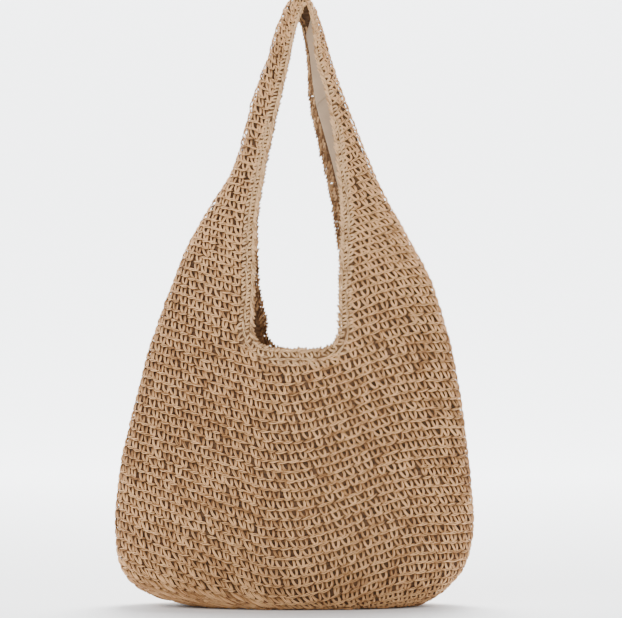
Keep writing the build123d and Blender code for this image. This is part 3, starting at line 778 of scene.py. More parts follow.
STRAW = yarn_material("straw_yarn", (0.10, 0.04, 0.012), (0.375, 0.178, 0.064), (0.80, 0.465, 0.215))
EDGING = yarn_material("edging_yarn", (0.13, 0.058, 0.02), (0.45, 0.248, 0.107), (0.80, 0.51, 0.265))
PAINTED_SHADE_BACKS = core_material("yarn_backs_painted_shade", (0.05, 0.021, 0.007), (0.16, 0.078, 0.032))
PAINTED_SHADE_EDGE_BACKS = core_material("edging_backs_painted_shade", (0.10, 0.048, 0.019), (0.25, 0.135, 0.06))
LINING = cloth_material("lining_cloth", (0.46, 0.325, 0.21))
TAPE = cloth_material("binding_tape", (0.44, 0.31, 0.20), thread=0.0008)
ZIP_TAPE = cloth_material("zip_tape_cloth", (0.41, 0.29, 0.19), thread=0.0007)
PATCH = cloth_material("patch_cloth", (0.38, 0.27, 0.17), thread=0.0009)
THREAD = cloth_material("sewing_thread", (0.33, 0.22, 0.13), thread=0.0003)
COIL = grained_material("coil_plastic", 350.0, 3.0, (0.30, 0.20, 0.12), (0.42, 0.30, 0.20), (0.32, 0.5))
BRASS = grained_material("light_brass", 900.0, 4.0, (0.60, 0.43, 0.20), (0.80, 0.63, 0.36), (0.2, 0.42), 1.0)

# ---- Crochet pieces ----
RING = np.linspace(0, 2 * math.pi, 721)
TOP_ROW = WING_ROW + max(WING_ROWS.values())
LOWEST_ROW = -5  # the sides have more rounds than the front's middle, and these start below row 0
ROUND_STOPS = [LOWEST_ROW, 6, 11, 16, 21, 26]  # rows at which the tube's pieces meet
EDGING_CLEAR = 11.0  # the tube's stitches stay this far from an opening's edge
WALL = Surface(
    surface, (-0.15, 2 * math.pi + 0.15), (LOWEST_ROW, TOP_ROW), 1201, 4 * (TOP_ROW - LOWEST_ROW) + 1,
)


def place_row(row, low, high, drift=0.0, anchor=None, stitch=STITCH_PITCH):
    """Angles and pitches of the stitches of one row between two ring angles. With an anchor angle
    the stitches are counted from there, so that rows line up under one another."""
    ring = RING[(RING >= low) & (RING <= high)]
    ring = np.unique(np.concatenate([[low], ring, [high]]))
    line = WALL(ring, row + 0.5)[0]
    steps = np.linalg.norm(np.diff(line, axis=0), axis=1)
    along = np.concatenate([[0], np.cumsum(steps)])
    count = max(1, round(along[-1] / stitch))
    pitch = along[-1] / count
    if anchor is None:
        wanted = (np.arange(count) + 0.5) * pitch
    else:
        start = np.interp(anchor, ring, along) + drift * pitch
        wanted = np.sort((start + np.arange(count) * pitch) % along[-1])
    angles = np.interp(wanted, along, ring)
    ahead, behind = (np.interp(wanted + pitch * step, along, ring) for step in (0.25, -0.25))
    spread = (ahead - behind) * 2
    full = np.gradient(ring, along)
    spacing = np.where(
        (wanted > pitch * 0.3) & (wanted < along[-1] - pitch * 0.3), spread,
        np.interp(wanted, along, full) * pitch,
    )
    return angles, spacing


def side_range(row, side):
    """The ring angles between which a row of one side runs clear of the edging."""
    centre = math.pi / 2 if side == LEFT else 1.5 * math.pi
    angles = np.linspace(centre - 1.5, centre + 1.5, 1201)
    z = WALL(angles, row + 0.5)[0][:, 2]
    clear = edge_distance(angles, row + 0.5) > edging_width(z) - 1.5
    inside = angles[clear]
    return inside.min(), inside.max()


ROW_STEP = 0.05  # how finely the backing's start is looked for, in rows
BACKING_REACH = 7  # the backing starts this far in on the underside
CORE_COLUMNS = 150  # all round the tube
SIDE_COLUMNS = 60  # round one side


def lowest_rows(angles):
    """Where, in rows, the wall's backing starts at each angle, a little way in on the underside."""
    side, face, angle = ring_place(angles % (2 * math.pi))
    rows = np.arange(LOWEST_ROW, 6, ROW_STEP)[:, None]
    _, under = tube_height(rows + 0 * angles, side, face, np.cos(angle))
    return LOWEST_ROW + ROW_STEP * np.argmax(under < BACKING_REACH, axis=0)


def core_slab(builder, rows, limits=None):
    """The back loops behind the rows from rows[0] to rows[1], all round the tube or between the
    two angles that limits gives for a row."""
    levels = np.linspace(rows[0], rows[1], 2 * max(1, round(rows[1] - rows[0])) + 1)
    closed = limits is None
    if closed:
        ring = np.linspace(0, 2 * math.pi, CORE_COLUMNS, endpoint=False)
        angles = np.broadcast_to(ring, (len(levels), CORE_COLUMNS))
    else:
        share = np.linspace(0, 1, SIDE_COLUMNS)
        ends = [limits(r) for r in levels]
        angles = np.stack([low + (high - low) * share for low, high in ends])
    level = np.broadcast_to(levels[:, None], angles.shape)
    if rows[0] == LOWEST_ROW:
        start = lowest_rows(angles[0])
        level = start + (rows[1] - start) * ((levels - rows[0]) / (rows[1] - rows[0]))[:, None]
    here, normal = WALL(angles, level)
    outer = here - normal * CORE_INSET
    inner = outer - normal * CORE_THICKNESS
    outer[..., 2] = np.maximum(outer[..., 2], 1.5)
    inner[..., 2] = np.maximum(inner[..., 2], 2.4)
    # Material 1 colours the back loops with painted deep shade.
    slab(builder, outer, inner, 1, closed)


def round_piece(name, first, last, seed):
    """Rounds of the tube from row first up to row last."""
    rng = np.random.default_rng(seed)
    builder = Builder()
    for row in range(first, last):
        angles, spacing = place_row(row, 0, 2 * math.pi, drift=-LEAN * (row % 40), anchor=math.pi)
        kept = on_wall(angles, row + 0.5) & (edge_distance(angles, row + 0.5) > EDGING_CLEAR)
        angles, spacing = angles[kept], spacing[kept]
        lay_stitches(builder, WALL, angles, spacing, np.full(len(angles), float(row)), rng)
    core_slab(builder, (first, last))
    return builder.finish(name, [STRAW, PAINTED_SHADE_BACKS])


def side_piece(name, side, first, last, seed, fine=1.0):
    """Rows of one side, from the front edging round the fold line to the back edging. fine is the
    size of a stitch beside one of the tube's."""
    rng = np.random.default_rng(seed)
    builder = Builder()
    count = round((last - first) / fine)
    step = (last - first) / count
    for row in first + np.arange(count) * step:
        low, high = side_range(row, side)
        angles, spacing = place_row(row, low, high, stitch=STITCH_PITCH * fine)
        lay_stitches(
            builder, WALL, angles, spacing, np.full(len(angles), float(row)), rng,
            height=step, unruly=1 + 4 * (1 - fine), thick=fine,
        )
    limits = {r: side_range(min(r, last - 0.51) - 0.5, side) for r in np.arange(first, last + 0.25, 0.5)}

    def ends(row):
        low, high = limits[round(row * 2) / 2]
        return low - 0.02, high + 0.02

    core_slab(builder, (first, last), ends)
    return builder.finish(name, [STRAW, PAINTED_SHADE_BACKS])


def declare(piece, slot, *stands_for, fold=None, body="bag", **sheet):
    """Hides the CAD parts that a piece replaces. Without a fold it rides on the named body; with one its
    placement is baked into its mesh. slot and sheet are not used."""
    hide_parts(*stands_for)
    if fold is None:
        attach(piece, body)
    else:
        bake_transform(piece)


def make_tube():
    for n, (first, last) in enumerate(zip(ROUND_STOPS, ROUND_STOPS[1:])):
        piece = round_piece(f"crochet_rounds_{n + 1}", first, last, 10 + n)
        declare(piece, "straw_yarn", "crochet_body")
    piece = round_piece("crochet_rounds_6", ROUND_STOPS[-1], RIM_ROW, 16)
    declare(piece, "straw_yarn", "crochet_body", fold=0)


def row_at_height(side, z):
    """The wing row whose edge stands at height z."""
    line = GUIDES[side, FRONT][0]
    t = np.interp(z, line[:, 1], STEPS)
    return WING_ROW + round(float(t) * WING_ROWS[side])


def side_stops(side, first, short=0):
    """The rows at which the pieces of one side meet, from row first to short rows below the join."""
    middle = [row_at_height(side, z) for z in (440, 538)]
    return [first, WING_ROW, *middle, WING_ROW + WING_ROWS[side] - short]


STRETCHES = ["wing_root", "wing", "strap_middle", "strap_crest"]
STRETCH_NODES = ["wing", "strap_lower", "strap_upper", "strap_crest"]
STRETCH_FINENESS = [1.0, 0.95, 0.8, 0.75]  # the stitches get smaller up the strap


def make_sides():
    for side, word in ((LEFT, "left"), (RIGHT, "right")):
        stops = side_stops(side, RIM_ROW)
        for n, stretch in enumerate(STRETCHES):
            piece = side_piece(
                f"crochet_{stretch}_{word}", side, stops[n], stops[n + 1], 30 + n + 5 * side,
                fine=STRETCH_FINENESS[n],
            )
            declare(piece, "straw_yarn", f"{STRETCH_NODES[n]}_{word}", fold=n)


# ---- Underside ----
def base_surface(x, row):
    """The underside, with rows along X that are counted from the back."""
    x, row = np.broadcast_arrays(np.asarray(x, float), np.asarray(row, float))
    y = BASE_HALF - ROW_PITCH * row
    return np.stack([x, y, np.zeros(x.shape)], -1)


BASE_REACH = (PROFILE[0, 1] + PROFILE[0, 2]) / 2  # half the underside's length
BASE_X = (PROFILE[0, 2] - PROFILE[0, 1]) / 2  # the underside's middle
BASE_MARGIN = 5  # its stitches stay this far inside its border
BASE_CORE_Z = 3.3


def base_half_width(y):
    """Half the length of the underside's oval at y."""
    return BASE_REACH * math.sqrt(max(0.0, 1 - (y / PROFILE[0, 3]) ** 2))


def make_base():
    rng = np.random.default_rng(60)
    rows = round(2 * BASE_HALF / ROW_PITCH)
    reach = (BASE_X - BASE_REACH, BASE_X + BASE_REACH)
    underside = Surface(base_surface, reach, (-1, rows + 1), 61, 2 * rows + 5)
    builder = Builder()
    for row in range(rows):
        half = base_half_width(BASE_HALF - ROW_PITCH * (row + 0.5)) - BASE_MARGIN
        count = round(2 * half / STITCH_PITCH)
        pitch = 2 * half / count
        x = BASE_X - half + (np.arange(count) + 0.5) * pitch
        lay_stitches(builder, underside, x, np.full(count, pitch), np.full(count, float(row)), rng)
    angle = np.linspace(0, 2 * math.pi, 96, endpoint=False)
    rings = np.array([0.02, 0.5, 1.0])
    x = BASE_X + np.cos(angle) * (BASE_REACH - BASE_MARGIN) * rings[:, None]
    y = -np.sin(angle) * (PROFILE[0, 3] - BASE_MARGIN) * rings[:, None]
    outer = np.stack([x, y, np.full(x.shape, BASE_CORE_Z)], -1)
    # The underside's back loops, coloured with painted deep shade by material 1.
    slab(builder, outer, outer + np.array([0, 0, CORE_THICKNESS]), 1, True)
    declare(builder.finish("crochet_underside", [STRAW, PAINTED_SHADE_BACKS]), "straw_yarn", "crochet_base")


# ---- Edging of the openings ----
EDGE_PITCH = 8.0  # along the edging
EDGE_THICK = {1: 0.74, 2: 0.85}  # thickness of its yarn, by how many rows the band has


def edge_path(face):
    """X and Z of an opening's edge, from the crest down one side, along the rim and up the other,
    at every millimetre. Seen from outside it runs from left to right."""
    corner_z = RIM_Z + OPENING_RADIUS
    sides = {}
    for side in (LEFT, RIGHT):
        rising = GUIDES[side, face][0]
        z = np.arange(corner_z, rising[0, 1], 1.0)
        straight = np.stack([edge_line(z, side, face), z], 1)
        foot = float(edge_line(corner_z, side, face))
        turn = np.linspace(-math.pi / 2, 0, 24, endpoint=False)
        centre_x = foot - side * OPENING_RADIUS
        arc_x = centre_x + side * OPENING_RADIUS * np.cos(turn)
        arc = np.stack([arc_x, corner_z + OPENING_RADIUS * np.sin(turn)], 1)
        sides[side] = np.concatenate([arc, straight, rising])
    path = np.concatenate([sides[LEFT][::-1], sides[RIGHT]])
    length = np.linalg.norm(np.diff(path, axis=0), axis=1).sum()
    path, _ = by_length(path, round(length) + 1)
    return path if face == FRONT else path[::-1]


class EdgeBand:
    """The band of cloth along an opening's edge: the first coordinate runs along the edge in mm, the
    second is the share of the band's width, from 0 at its inner limit to 1 at the opening."""

    def __init__(self, face):
        self.face = face
        self.path = edge_path(face)
        self.length = len(self.path) - 1
        direction = np.gradient(self.path, axis=0)
        for _ in range(12):
            direction[1:-1] = (direction[:-2] + 2 * direction[1:-1] + direction[2:]) / 4
        direction /= np.linalg.norm(direction, axis=1, keepdims=True)
        self.into = -face * np.stack([direction[:, 1], -direction[:, 0]], 1)
        self.places = np.arange(len(self.path), dtype=float)

    def height(self, along):
        return np.interp(along, self.places, self.path[:, 1])

    def points(self, along, share):
        along, share = np.broadcast_arrays(np.asarray(along, float), np.asarray(share, float))
        x, z = (np.interp(along, self.places, self.path[:, k]) for k in (0, 1))
        into_x, into_z = (np.interp(along, self.places, self.into[:, k]) for k in (0, 1))
        width = edging_width(z)
        depth = width * (1 - share)
        face = np.full(x.shape, self.face)
        edge_z = z
        x, z = x + depth * into_x, z + depth * into_z
        middle = np.where(z > CREST_Z, SEAM_X, (edge_line(z, LEFT, face) + edge_line(z, RIGHT, face)) / 2)
        side = np.where(x < middle, LEFT, RIGHT)
        low_z = np.minimum(z, CREST_Z)
        reach = np.abs(side * fold_line(low_z, side) - x)
        cosine = 1 - reach / oval_width(low_z, side, face)
        # Round the crest the band keeps the cosines that it has at the crest's foot.
        share_c = edge_share(side, face)
        crest_span = np.interp(edge_z, [CREST_Z, CREST_APEX[self.face][1]], [30, 8])
        crest_cosine = share_c + depth / crest_span * (1 - share_c)
        cosine = cosine + (crest_cosine - cosine) * ramp(edge_z, 555, 595)
        sine = np.sqrt(np.clip(1 - cosine ** 2, 0, 1))
        y = depth_at(x, z, face, sine)
        return np.stack([x, y, z], -1)

    def surface(self):
        return Surface(self.points, (0, self.length), (-0.25, 1.75), self.length + 1, 33)


def lay_chain(builder, face_of, along, spacing, share, inset, rng):
    """Loops in a chain along a band."""
    count = len(along)
    tiles = next_tiles(builder, count)
    t = np.linspace(-1, 1, 7)
    wave = rng.normal(0, 0.05, count)
    here, normal = face_of(
        along[:, None] + 0.68 * spacing[:, None] * t, share[:, None] + wave[:, None] + 0.12 * t,
    )
    depth = inset + rng.normal(0, 0.2, count)[:, None] + 1.3 * t * t
    centre = here - normal * depth[..., None]
    turn = t * 0.9 + rng.normal(0, 0.4, count)[:, None]
    # Painted light up the strap, as on the stitches; the chains are also 0.1 darker throughout.
    shade = PAINTED_LIGHT_UP * ramp(here[..., 2], *PAINTED_LIGHT_Z) - 0.1
    lay_yarn(builder, centre, normal, turn, 3, rng.random(count), tiles, rng, shade, 0.8, 0.85, 0.8)


def edging_piece(name, band, face_of, low_z, high_z, seed):
    """The edging between two heights, on both branches of the opening."""
    rng = np.random.default_rng(seed)
    builder = Builder()
    count = round(band.length / EDGE_PITCH)
    pitch = band.length / count
    middles = (np.arange(count) + 0.5) * pitch
    for rows, narrow, wide in ((2, 9.0, 99.0), (1, 0.0, 9.0)):
        z = band.height(middles)
        width = edging_width(z)
        kept = (z >= low_z) & (z < high_z) & (width >= narrow) & (width < wide)
        along = middles[kept]
        spacing = np.full(len(along), pitch)
        for row in range(rows):
            share = np.full(len(along), row / rows)
            lay_stitches(
                builder, face_of, along + row * pitch * 0.4, spacing, share, rng, height=0.9 / rows,
                thick=EDGE_THICK[rows],
            )
    z = band.height(middles)
    along = middles[(z >= low_z) & (z < high_z)]
    spacing = np.full(len(along), pitch)
    width = edging_width(band.height(along))
    # Three chains roll over the edge itself, and one lies on the inside.
    for off_edge, inset in ((0.6, 1.3), (-0.5, 2.3), (0.4, 3.8), (4.6, 4.3)):
        for half in (0.25, 0.75):
            lay_chain(
                builder, face_of, along + pitch * (half - 0.5), spacing / 2, 1 - off_edge / width, inset, rng,
            )
    # The backs of the stitches, coloured with painted deep shade.
    for start, end in runs_between(band, low_z, high_z):
        columns = np.linspace(start, end, max(3, round((end - start) / 4)))
        shares = np.linspace(0.02, 0.86, 6)
        here, normal = face_of(*np.meshgrid(columns, shares, indexing="xy"))
        outer = here - normal * 2.9
        slab(builder, outer, outer - normal * 1.2, 1, False)
    return builder.finish(name, [EDGING, PAINTED_SHADE_EDGE_BACKS])


def runs_between(band, low_z, high_z):
    """The stretches of an edging's length whose height is between two limits."""
    z = band.path[:, 1]
    inside = np.concatenate([[False], (z >= low_z) & (z < high_z), [False]])
    turns = np.flatnonzero(np.diff(inside.astype(int)))
    return [(a, b - 1) for a, b in zip(turns[::2], turns[1::2]) if b - a > 3]


EDGING_STOPS = [0, 352, 448, 540, 700]  # heights at which its pieces meet


def make_edging():
    for face, word in ((FRONT, "front"), (BACK, "back")):
        band = EdgeBand(face)
        face_of = band.surface()
        pieces = [
            ("rim_band", f"rim_edging_{word}", "wing_edging"), ("wing_band", "strap_lower_edging"),
            ("strap_band", "strap_upper_edging"), ("crest_band", "strap_crest_edging"),
        ]
        for n, (name, *stands_for) in enumerate(pieces):
            limits = EDGING_STOPS[n], EDGING_STOPS[n + 1]
            piece = edging_piece(f"{name}_{word}", band, face_of, *limits, 80 + 4 * face + n)
            declare(piece, "edging_yarn", *stands_for, fold=n)


def make_join_stitches():
    """Yarn passed over the join at the strap's top."""
    builder = Builder()
    rng = np.random.default_rng(97)
    t = np.linspace(-1, 1, 9)
    for n, y in enumerate((-6.0, -3.0, 0.0, 3.0, 6.0)):
        # They follow the crochet, which falls from the crest towards both openings.
        face = FRONT if y < 0 else BACK
        cosine = math.sqrt(1 - (y / float(half_depth(CREST_Z))) ** 2)
        share = float(edge_share(RIGHT, face))
        apex_z = CREST_APEX[face][1]
        crown = apex_z + (STRAP_TOP_Z - apex_z) * (cosine - share) / (1 - share) - 0.4
        line = np.stack([SEAM_X + 5.2 * t, y + 0.7 * t, crown - 1.6 * t ** 2 - 0.9 * t ** 4], 1)
        for k in range(3):
            angle = 1.2 * t + k * 2 * math.pi / 3
            offset = np.stack([0 * t, np.cos(angle), np.sin(angle)], 1) * 0.62
            tubes(builder, (line + offset)[None], UP, 0.6, rng.random(1) * 0.6, (n / 8, k / 8, 1 / 8))
    piece = builder.finish("join_stitches", [EDGING])
    declare(piece, "edging_yarn", "strap_join_stitches", body="strap_crest")


# ---- Lining ----
# Height and thickness of the crochet.
FABRIC = np.array([(0, 5), (8, 13), (20, 9), (40, 6), (65, 5), (300, 5), (400, 4.5), (650, 4.5)])
LINING_GAP = 1.4
CLOTH_THICKNESS = 1.0
LINING_FOOT_Z = 7.9
LINING_TOP_Z = 299.5
LINING_RIM_DROP = 4.0  # the lining stops this far below the rim
RIM_REACH = 55  # the rim runs this far to each side of X = 2


def inside(theta, z, face, inset):
    """A point inside the wall, at an angle from the left fold line through the face's middle to the
    right one."""
    side = np.where(theta < math.pi / 2, LEFT, RIGHT)
    cosine, sine = np.abs(np.cos(theta)), np.sin(theta)
    reach = oval_width(z, side, face) - inset
    x = side * (fold_line(z, side) - inset - reach * (1 - cosine))
    y = face * (half_depth(z) - inset) * sine
    return np.stack([x, y, z], -1)


def lining_inset(z):
    return smooth(z, FABRIC) + LINING_GAP


def wrinkles(x, z, face):
    """How far the lining stands in from the crochet where it doesn't lie flat on it."""
    folds = np.sin(x / 13 + 2 * np.sin(z / 41 + face)) * np.sin(z / 57 + x / 90 + face)
    pull = np.sin(x / 7.5 + z / 60) * np.exp(-((z - 40) / 32) ** 2)
    return 1.1 * np.maximum(folds, 0) + 0.7 * np.maximum(pull, 0)


def lining_panel(name, face):
    """One side of the lining, from fold line to fold line, up to the wings."""
    theta = np.linspace(0, math.pi, 201)
    # The panel's top follows the crochet's last full round, and stays below the rim.
    alpha = math.pi / 2 + theta if face == FRONT else math.pi / 2 - theta
    rim = WALL(alpha % (2 * math.pi), float(RIM_ROW))[0]
    near = np.abs(rim[:, 0] - 2) < RIM_REACH
    top = np.minimum(rim[:, 2], np.where(near, RIM_Z - LINING_RIM_DROP, LINING_TOP_Z))
    share = np.linspace(0, 1, 73)[:, None]
    z = LINING_FOOT_Z + (top - LINING_FOOT_Z) * share
    angle = np.broadcast_to(theta, z.shape)
    x = inside(angle, z, face, lining_inset(z))[..., 0]
    crease = wrinkles(x, z, face) * np.sin(angle) ** 0.5 * ramp(z, 10, 40) * (1 - ramp(share, 0.9, 1))
    # It lies flat under the pockets and the snap.
    flat = np.exp(-((x / 88) ** 6)) * np.exp(-(((z - 175) / 78) ** 6))
    crease = crease * (1 - flat)
    outer = inside(angle, z, face, lining_inset(z) + crease)
    inner = inside(angle, z, face, lining_inset(z) + crease + CLOTH_THICKNESS)
    return cloth_piece(name, outer[:, ::-face], inner[:, ::-face], [LINING])


def make_lining_walls():
    for face, word in ((FRONT, "front"), (BACK, "back")):
        declare(
            lining_panel(f"lining_panel_{word}", face), "lining_cloth", f"lining_{word}", fold=0,
            flat=(0.385, 0.275), held="hung", rests_on=[f"rim_band_{word}"],
        )


def make_lining_base():
    angle = np.linspace(0, 2 * math.pi, 97)[:-1]
    rings = np.array([0.02, 0.25, 0.5, 0.75, 0.9, 1.0])[:, None]
    reach = smooth(6.9, PROFILE, 1) - lining_inset(6.9) - 1.0
    deep = half_depth(6.9) - lining_inset(6.9) - 1.0
    x, y = np.cos(angle) * reach * rings, -np.sin(angle) * deep * rings
    z = 6.4 + 0.25 * (np.sin(x / 11 + y / 17) + 1) * (1 - rings ** 8)
    under = np.stack([x, y, z], -1)
    builder = Builder()
    slab(builder, under, under + np.array([0, 0, 0.95]), 0, True)
    declare(
        builder.finish("lining_floor", [LINING]), "lining_cloth", "lining_base",
        flat=(0.262, 0.073), area=0.0150, held="laid", rests_on=["crochet_underside"],
    )


BAND_LINING_INSET = 5.35
BAND_LINING_THICKNESS = 0.9
# Name, CAD part, and flat width and length of each stretch of the wings' and strap's lining.
BAND_LININGS = [
    ("wing_root_tape", "wing_lining_{}", (0.235, 0.060)),
    ("wing_tape", "strap_lower_lining_{}", (0.140, 0.092)),
    ("strap_tape", "strap_upper_lining_{}", (0.060, 0.098)),
    ("crest_tape", "strap_crest_lining", (0.030, 0.110)),
]


def band_lining(name, side, first, last):
    """The lining of one wing or half of the strap, from the front edging round the fold line to the
    back edging, between two rows."""
    levels = np.linspace(first, last, max(2, round((last - first) * 3)) + 1)
    limits = [side_range(r - 0.5, side) for r in levels]
    share = np.linspace(0, 1, 61)
    angles = np.stack([low + (high - low) * share for low, high in limits])
    here, normal = WALL(angles, np.broadcast_to(levels[:, None], angles.shape))
    outer = here - normal * BAND_LINING_INSET
    return cloth_piece(name, outer, outer - normal * BAND_LINING_THICKNESS, [LINING])


def make_band_linings():
    for side, word in ((LEFT, "left"), (RIGHT, "right")):
        stops = side_stops(side, RIM_ROW - 0.4, short=2.6)
        for n, (name, stands_for, flat) in enumerate(BAND_LININGS):
            declare(
                band_lining(f"{name}_{word}", side, stops[n], stops[n + 1]), "lining_cloth",
                stands_for.format(word), fold=n,
                flat=flat, held="stretched", rests_on=[f"crochet_{STRETCHES[n]}_{word}"],
            )


# ---- Pockets, zip and snap ----
def seam(builder, line, way, stitch=2.4, gap=1.1, radius=0.28):
    """A row of machine stitches along a line of points, lying on cloth that faces one way."""
    steps = np.linalg.norm(np.diff(line, axis=0), axis=1)
    along = np.concatenate([[0], np.cumsum(steps)])
    starts = np.arange(gap, along[-1] - stitch, stitch + gap)
    t = np.linspace(0, 1, 4)
    places = starts[:, None] + t * stitch
    centre = np.stack([np.interp(places, along, line[:, k]) for k in range(3)], -1)
    centre = centre + way * (0.12 * np.sin(math.pi * t))[None, :, None]
    count = len(starts)
    grid = tile_grid(count)
    place = np.arange(count)
    tile = (0.5 + (place % grid) * 0.5 / grid, (place // grid) * 0.5 / grid, 0.5 / grid)
    tubes(builder, centre, way, radius, 0.5, tile, squash=0.8, material=1)


def cloth_piece(name, near, far, materials, lines=(), way=TO_FRONT):
    """One sheet of cloth with rows of machine stitches on it."""
    builder = Builder()
    slab(builder, near, far, 0, False)
    for line in lines:
        seam(builder, line, way)
    return builder.finish(name, materials)


def sheet_grid(rows, columns, low_z, high_z, corner):
    """Z, the place from -1 to 1 across, and how far a sheet's rounded lower corners draw in."""
    across = np.linspace(-1, 1, columns)[None, :]
    z, across = np.broadcast_arrays(np.linspace(low_z, high_z, rows)[:, None], across)
    pull = corner - np.sqrt(np.maximum(corner ** 2 - np.maximum(corner - (z - low_z), 0) ** 2, 0))
    return z, across, pull


SLIP_HALF, SLIP_LOW_Z, SLIP_TOP_Z = 75.0, 110.0, 222.0
HEM_HEIGHT = 12.0


def on_front_lining(x, z, off):
    """A point inside the front lining, off millimetres from its inner side."""
    inset = lining_inset(z) + CLOTH_THICKNESS + off
    side = np.where(x < 0, LEFT, RIGHT)
    reach = oval_width(z, side, FRONT) - inset
    cosine = 1 - (fold_line(z, side) - inset - np.abs(x)) / reach
    y = -(half_depth(z) - inset) * np.sqrt(np.clip(1 - cosine ** 2, 0, 1))
    return np.stack([x, y, z], -1)


def gape(x, z):
    """The pocket's mouth stands a little open in its middle."""
    return 2.2 * (1 - (x / SLIP_HALF) ** 2) * ramp(z, SLIP_TOP_Z - 60, SLIP_TOP_Z) ** 1.5


def pocket_sheet(half, low_z, high_z, off, corner=0.0):
    z, across, pull = sheet_grid(41, 61, low_z, high_z, corner)
    x = across * (half - pull)
    rise = off + gape(x, z)
    return on_front_lining(x, z, rise), on_front_lining(x, z, rise + CLOTH_THICKNESS)


def make_slip_pocket():
    outer, inner = pocket_sheet(SLIP_HALF, SLIP_LOW_Z, SLIP_TOP_Z, 0.5, corner=10)
    edge = np.concatenate([inner[::-1, 1], inner[1, 1:-1], inner[:, -2]])
    middle = np.array([0, edge[:, 1].mean(), 170])
    line = edge + (middle - edge) * np.array([0.03, 0, 0.03])
    line[:, 1] = edge[:, 1] + 0.2
    declare(
        cloth_piece("slip_pocket_panel", outer, inner, [LINING, THREAD], [line], TO_BACK),
        "lining_cloth", "slip_pocket",
        flat=(0.150, 0.112), held="laid", rests_on=["lining_panel_front"],
    )
    outer, inner = pocket_sheet(SLIP_HALF - 0.5, SLIP_TOP_Z - HEM_HEIGHT, SLIP_TOP_Z - 0.2, 1.8)
    lines = [inner[row] + np.array([0, 0.15, 0]) for row in (3, 35)]
    declare(
        cloth_piece("slip_pocket_tape", outer, inner, [TAPE, THREAD], lines, TO_BACK),
        "binding_tape", "slip_pocket_hem",
        flat=(0.150, 0.012), held="stretched", rests_on=["slip_pocket_panel"],
    )


ZIP_Z, ZIP_HALF = 216.0, 80.0
PATCH_Y = 30.0
ZIP_WINDOW_LOW, ZIP_WINDOW_HIGH = 208.0, 224.0


def flat_sheet(low_x, high_x, low_z, high_z, near_y, thickness, corner=0.0, puff=0.0):
    """A flat sheet facing the front, with rounded lower corners and a slight swell."""
    z, across, pull = sheet_grid(33, 57, low_z, high_z, corner)
    x = (low_x + high_x) / 2 + across * ((high_x - low_x) / 2 - pull)
    share = (z - low_z) / (high_z - low_z)
    swell = puff * (1 - across ** 4) * np.sin(math.pi * share) * (1 + 0.35 * np.sin(x / 12 + z / 19))
    near = np.stack([x, near_y - swell, z], -1)
    return near, near + np.array([0, thickness, 0])


def make_zip_pocket():
    lift = np.array([0, -0.12, 0])
    near, far = flat_sheet(-ZIP_HALF, ZIP_HALF, 112, ZIP_WINDOW_LOW, PATCH_Y, 1.0, corner=9, puff=1.6)
    border = np.concatenate([near[::-1, 1], near[1, 1:-1], near[:, -2]]) + lift
    declare(
        cloth_piece("zip_pocket_panel", near, far, [LINING, THREAD], [border, near[-2] + lift]),
        "lining_cloth", "zip_pocket",
        flat=(0.160, 0.096), held="stretched", rests_on=["lining_panel_back"],
    )
    near, far = flat_sheet(-ZIP_HALF, ZIP_HALF, ZIP_WINDOW_HIGH, 236, PATCH_Y, 1.0)
    declare(
        cloth_piece("zip_facing_strip", near, far, [LINING, THREAD], [near[3] + lift, near[-4] + lift]),
        "lining_cloth", "zip_facing",
        flat=(0.160, 0.012), held="stretched", rests_on=["lining_panel_back"],
    )
    builder = Builder()
    for n, (low_z, high_z, edge_z) in enumerate(((203.0, 212.0, 212.0), (220.0, 229.0, 220.0))):
        near, far = flat_sheet(-ZIP_HALF, ZIP_HALF, low_z, high_z, 31.1, 0.8)
        slab(builder, near, far, 0, False)
        # The tape's corded edge beside the coil.
        x = np.linspace(-ZIP_HALF + 0.6, ZIP_HALF - 0.6, 80)
        line = np.stack([x, np.full(80, 31.5), np.full(80, edge_z)], 1)[None]
        tubes(builder, line, TO_FRONT, 0.5, 0.5, (0.5 * n, 0.5, 0.5), squash=1.0)
    declare(
        builder.finish("zip_tape_strips", [ZIP_TAPE]), "zip_tape_cloth", "zip_tape_lower", "zip_tape_upper",
        flat=(0.160, 0.018), held="stretched", rests_on=["zip_pocket_panel"],
    )


COIL_HALF = 73.5
COIL_PITCH = 1.6
COIL_Y = 31.5


def make_coil():
    """The coil's loops, in turn from the upper and the lower tape."""
    builder = Builder()
    count = int(2 * COIL_HALF / COIL_PITCH)
    x = (-COIL_HALF + np.arange(count) * COIL_PITCH + 0.3)[:, None]
    shape_x = np.array([-0.42, -0.4, -0.15, 0.15, 0.4, 0.42])
    shape_z = np.array([1.9, 0.2, -0.55, -0.55, 0.2, 1.9])
    shape_y = np.array([0.45, -0.15, -0.35, -0.35, -0.15, 0.45])
    grid = tile_grid(2 * count)
    for n, way in enumerate((1, -1)):
        line_x = x + shape_x + n * COIL_PITCH / 2
        line = np.stack([line_x, COIL_Y + shape_y + 0 * x, ZIP_Z + way * shape_z + 0 * x], -1)
        place = np.arange(count) + n * count
        tile = ((place % grid) / grid, (place // grid) / grid, 1 / grid)
        tubes(builder, line, TO_FRONT, 0.4, 0.5, tile, squash=1.0)
    # The cord inside the coil.
    along = np.linspace(-COIL_HALF - 0.3, COIL_HALF + 0.3, 60)
    for off in (0.9, -0.9):
        line = np.stack([along, np.full(60, COIL_Y + 0.25), np.full(60, ZIP_Z + off)], 1)[None]
        tubes(builder, line, TO_FRONT, 0.42, 0.5, (0.0, 0.0, 0.02), squash=1.0)
    declare(builder.finish("zip_coil_loops", [COIL]), "coil_plastic", "zip_coil")


